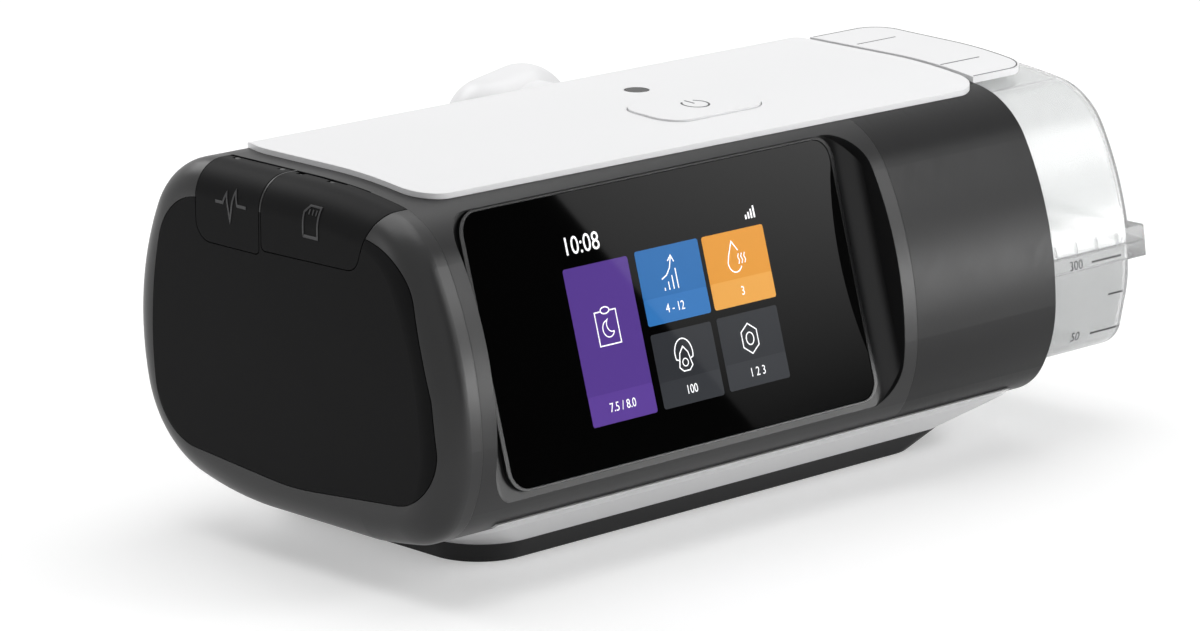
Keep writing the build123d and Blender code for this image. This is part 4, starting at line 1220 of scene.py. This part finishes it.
@dataclass(frozen=True)
class LightCard:
    """A lit card whose mirror image crosses the glass, brightest at its upper right."""

    centre: tuple[float, float, float] = (0.5866, -0.7083, 0.2218)
    away: tuple[float, float, float] = (0.673, -0.719, 0.173)
    outline: tuple[Point, ...] = ((0.028, -0.078), (0.17, -0.078), (0.17, 0.088), (-0.026, 0.088))
    faint: float = 0.1
    bright: float = 1.25
    across: tuple[float, float, float, float] = (0.0, 0.09, 0.62, 1.04)

    def _material(self) -> bpy.types.Material:
        """Makes a glow that grows upwards and to the right."""
        material, tree = new_material("card_lit_graded")
        apart = add_node(tree, "ShaderNodeSeparateXYZ", links={0: object_place(tree)})
        rise = ranged(tree, apart.outputs[1], 0.0, 1.0, (self.outline[0][1], self.outline[2][1]))
        start, end, left, right = self.across
        side = add_node(
            tree,
            "ShaderNodeMapRange",
            {"clamp": False},
            {1: start, 2: end, 3: left, 4: right},
            {0: apart.outputs[0]},
        ).outputs[0]
        both = add_node(
            tree, "ShaderNodeMath", {"operation": "MULTIPLY"}, links={0: rise, 1: side}
        ).outputs[0]
        strength = add_node(
            tree,
            "ShaderNodeMath",
            {"operation": "MULTIPLY_ADD"},
            {1: self.bright, 2: self.faint},
            {0: both},
        ).outputs[0]
        glow = add_node(tree, "ShaderNodeEmission", links={"Strength": strength}).outputs[0]
        add_node(tree, "ShaderNodeOutputMaterial", links={"Surface": glow})
        return material

    def build(self) -> None:
        """Hangs the card where only reflections find it."""
        mesh = bpy.data.meshes.new("light_card")
        corners = [(across, up, 0.0) for across, up in self.outline]
        mesh.from_pydata(corners, [], [tuple(range(len(corners)))])
        mesh.materials.append(self._material())
        card = bpy.data.objects.new("light_card", mesh)
        card.location = self.centre
        card.rotation_euler = Vector(self.away).to_track_quat("Z", "Y").to_euler()
        card.visible_camera = False
        card.visible_diffuse = False
        card.visible_transmission = False
        card.visible_shadow = False
        bpy.context.scene.collection.objects.link(card)


@dataclass
class Studio:
    """Pale floor, soft lamps, white surroundings and the camera."""

    camera_place: tuple[float, float, float] = (-1.04754, -1.0982, 0.43199)
    camera_aim: tuple[float, float, float] = (0.6727, 0.6985, -0.2442)
    lens_mm: float = 158.5
    sensor_mm: float = 36.0
    sight: float = 20.0
    ambient: float = 0.42
    mirrored: float = 1.0
    floor_reach: float = 4.0
    floor_level: float = -0.0002
    floor_white: float = 0.8
    floor_glow: float = 0.34
    flag_way: tuple[float, float, float] = (0.673, -0.718, 0.172)
    flag_deg: Point = (24.0, 42.0)
    flag_glow: float = 0.02
    lamps: tuple[Softbox, ...] = (
        Softbox("overhead_softbox", (0.1, 0.25, 1.3), (0.0, 0.0, 0.05), (1.4, 1.1), 9.6),
        Softbox("back_softbox", (-0.1, 1.2, 1.0), (-0.1, 0.0, 0.1), (0.8, 0.6), 4.0),
        Softbox("left_softbox", (-1.3, 0.35, 0.55), (-0.1, 0.0, 0.06), (0.5, 0.9), 1.8),
        Softbox("low_softbox", (0.95, -0.97, 0.1), (0.05, -0.06, 0.06), (0.7, 0.14), 5.5),
        Softbox("high_softbox", (0.9, -0.95, 0.7), (0.0, 0.0, 0.06), (0.7, 0.45), 5.0),
    )
    card: LightCard = LightCard()

    def _floor(self) -> None:
        """Lays the floor, which keeps the machine's shadow and is white elsewhere."""
        mesh = bpy.data.meshes.new("floor")
        reach, level = self.floor_reach, self.floor_level
        corners = [(x * reach, y * reach, level) for x, y in ((-1, -1), (1, -1), (1, 1), (-1, 1))]
        mesh.from_pydata(corners, [], [(0, 1, 2, 3)])
        material, tree = new_material("paper_coated_white")
        path = add_node(tree, "ShaderNodeLightPath")
        seen = seen_white(tree, path)
        mirrored = add_node(
            tree,
            "ShaderNodeMath",
            {"operation": "MAXIMUM"},
            links={0: seen, 1: path.outputs["Is Glossy Ray"]},
        ).outputs[0]
        strength = add_node(
            tree, "ShaderNodeMath", {"operation": "MULTIPLY"}, {1: self.floor_glow}, {0: mirrored}
        ).outputs[0]
        white = (self.floor_white, self.floor_white, self.floor_white, 1.0)
        paper = add_node(tree, "ShaderNodeBsdfDiffuse", values={"Color": white}).outputs[0]
        glow = add_node(tree, "ShaderNodeEmission", links={"Strength": strength}).outputs[0]
        both = add_node(tree, "ShaderNodeAddShader", links={0: paper, 1: glow}).outputs[0]
        add_node(tree, "ShaderNodeOutputMaterial", links={"Surface": both})
        mesh.materials.append(material)
        floor = bpy.data.objects.new("floor", mesh)
        bpy.context.scene.collection.objects.link(floor)

    def _surroundings(self) -> None:
        """Makes the room: white to the eye, dimmer for the light, with a dark patch in mirrors."""
        world = bpy.data.worlds.new("studio")
        world.use_nodes = True
        tree = world.node_tree
        tree.nodes.clear()
        path = add_node(tree, "ShaderNodeLightPath")
        seen = seen_white(tree, path)
        place = add_node(tree, "ShaderNodeTexCoord").outputs["Generated"]
        towards = Vector(self.flag_way).normalized()
        near = add_node(
            tree, "ShaderNodeVectorMath", {"operation": "DOT_PRODUCT"}, {1: towards}, {0: place}
        ).outputs["Value"]
        low, high = (math.cos(math.radians(angle)) for angle in reversed(self.flag_deg))
        mirrored = add_node(
            tree,
            "ShaderNodeMapRange",
            {"interpolation_type": "SMOOTHSTEP"},
            {1: low, 2: high, 3: self.mirrored, 4: self.flag_glow},
            {0: near},
        ).outputs[0]
        glossy = path.outputs["Is Glossy Ray"]
        room = add_node(
            tree, "ShaderNodeMix", {"data_type": "FLOAT"}, {2: self.ambient}, {0: glossy, 3: mirrored}
        ).outputs[0]
        strength = add_node(
            tree, "ShaderNodeMix", {"data_type": "FLOAT"}, {3: 1.0}, {0: seen, 2: room}
        ).outputs[0]
        back = add_node(tree, "ShaderNodeBackground", links={"Strength": strength}).outputs[0]
        add_node(tree, "ShaderNodeOutputWorld", links={"Surface": back})
        bpy.context.scene.world = world

    def _camera(self) -> None:
        """Sets up the camera."""
        lens = bpy.data.cameras.new("camera")
        lens.lens = self.lens_mm
        lens.sensor_width = self.sensor_mm
        lens.clip_end = self.sight
        camera = bpy.data.objects.new("camera", lens)
        camera.location = self.camera_place
        camera.rotation_euler = Vector(self.camera_aim).to_track_quat("-Z", "Y").to_euler()
        bpy.context.scene.collection.objects.link(camera)
        bpy.context.scene.camera = camera

    def build(self) -> None:
        """Builds the stage."""
        self._floor()
        self._surroundings()
        for lamp in self.lamps:
            lamp.build()
        self.card.build()
        self._camera()
        bpy.context.scene.view_settings.view_transform = "Standard"
        LOG.info("stage is set with %d lamps", len(self.lamps))


def main() -> None:
    """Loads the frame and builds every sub-assembly."""
    logging.basicConfig(level=logging.INFO, format="%(name)s: %(message)s")
    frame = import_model()
    Casing(frame["nodes"]).dress()
    ScreenFace().build()
    TopMarks(frame["nodes"]).build()
    FlapSymbols(frame["nodes"]).build()
    ChamberMarks(frame["nodes"]).build()
    TrayLip(frame["nodes"]).build()
    Studio().build()


if __name__ == "__main__":
    main()
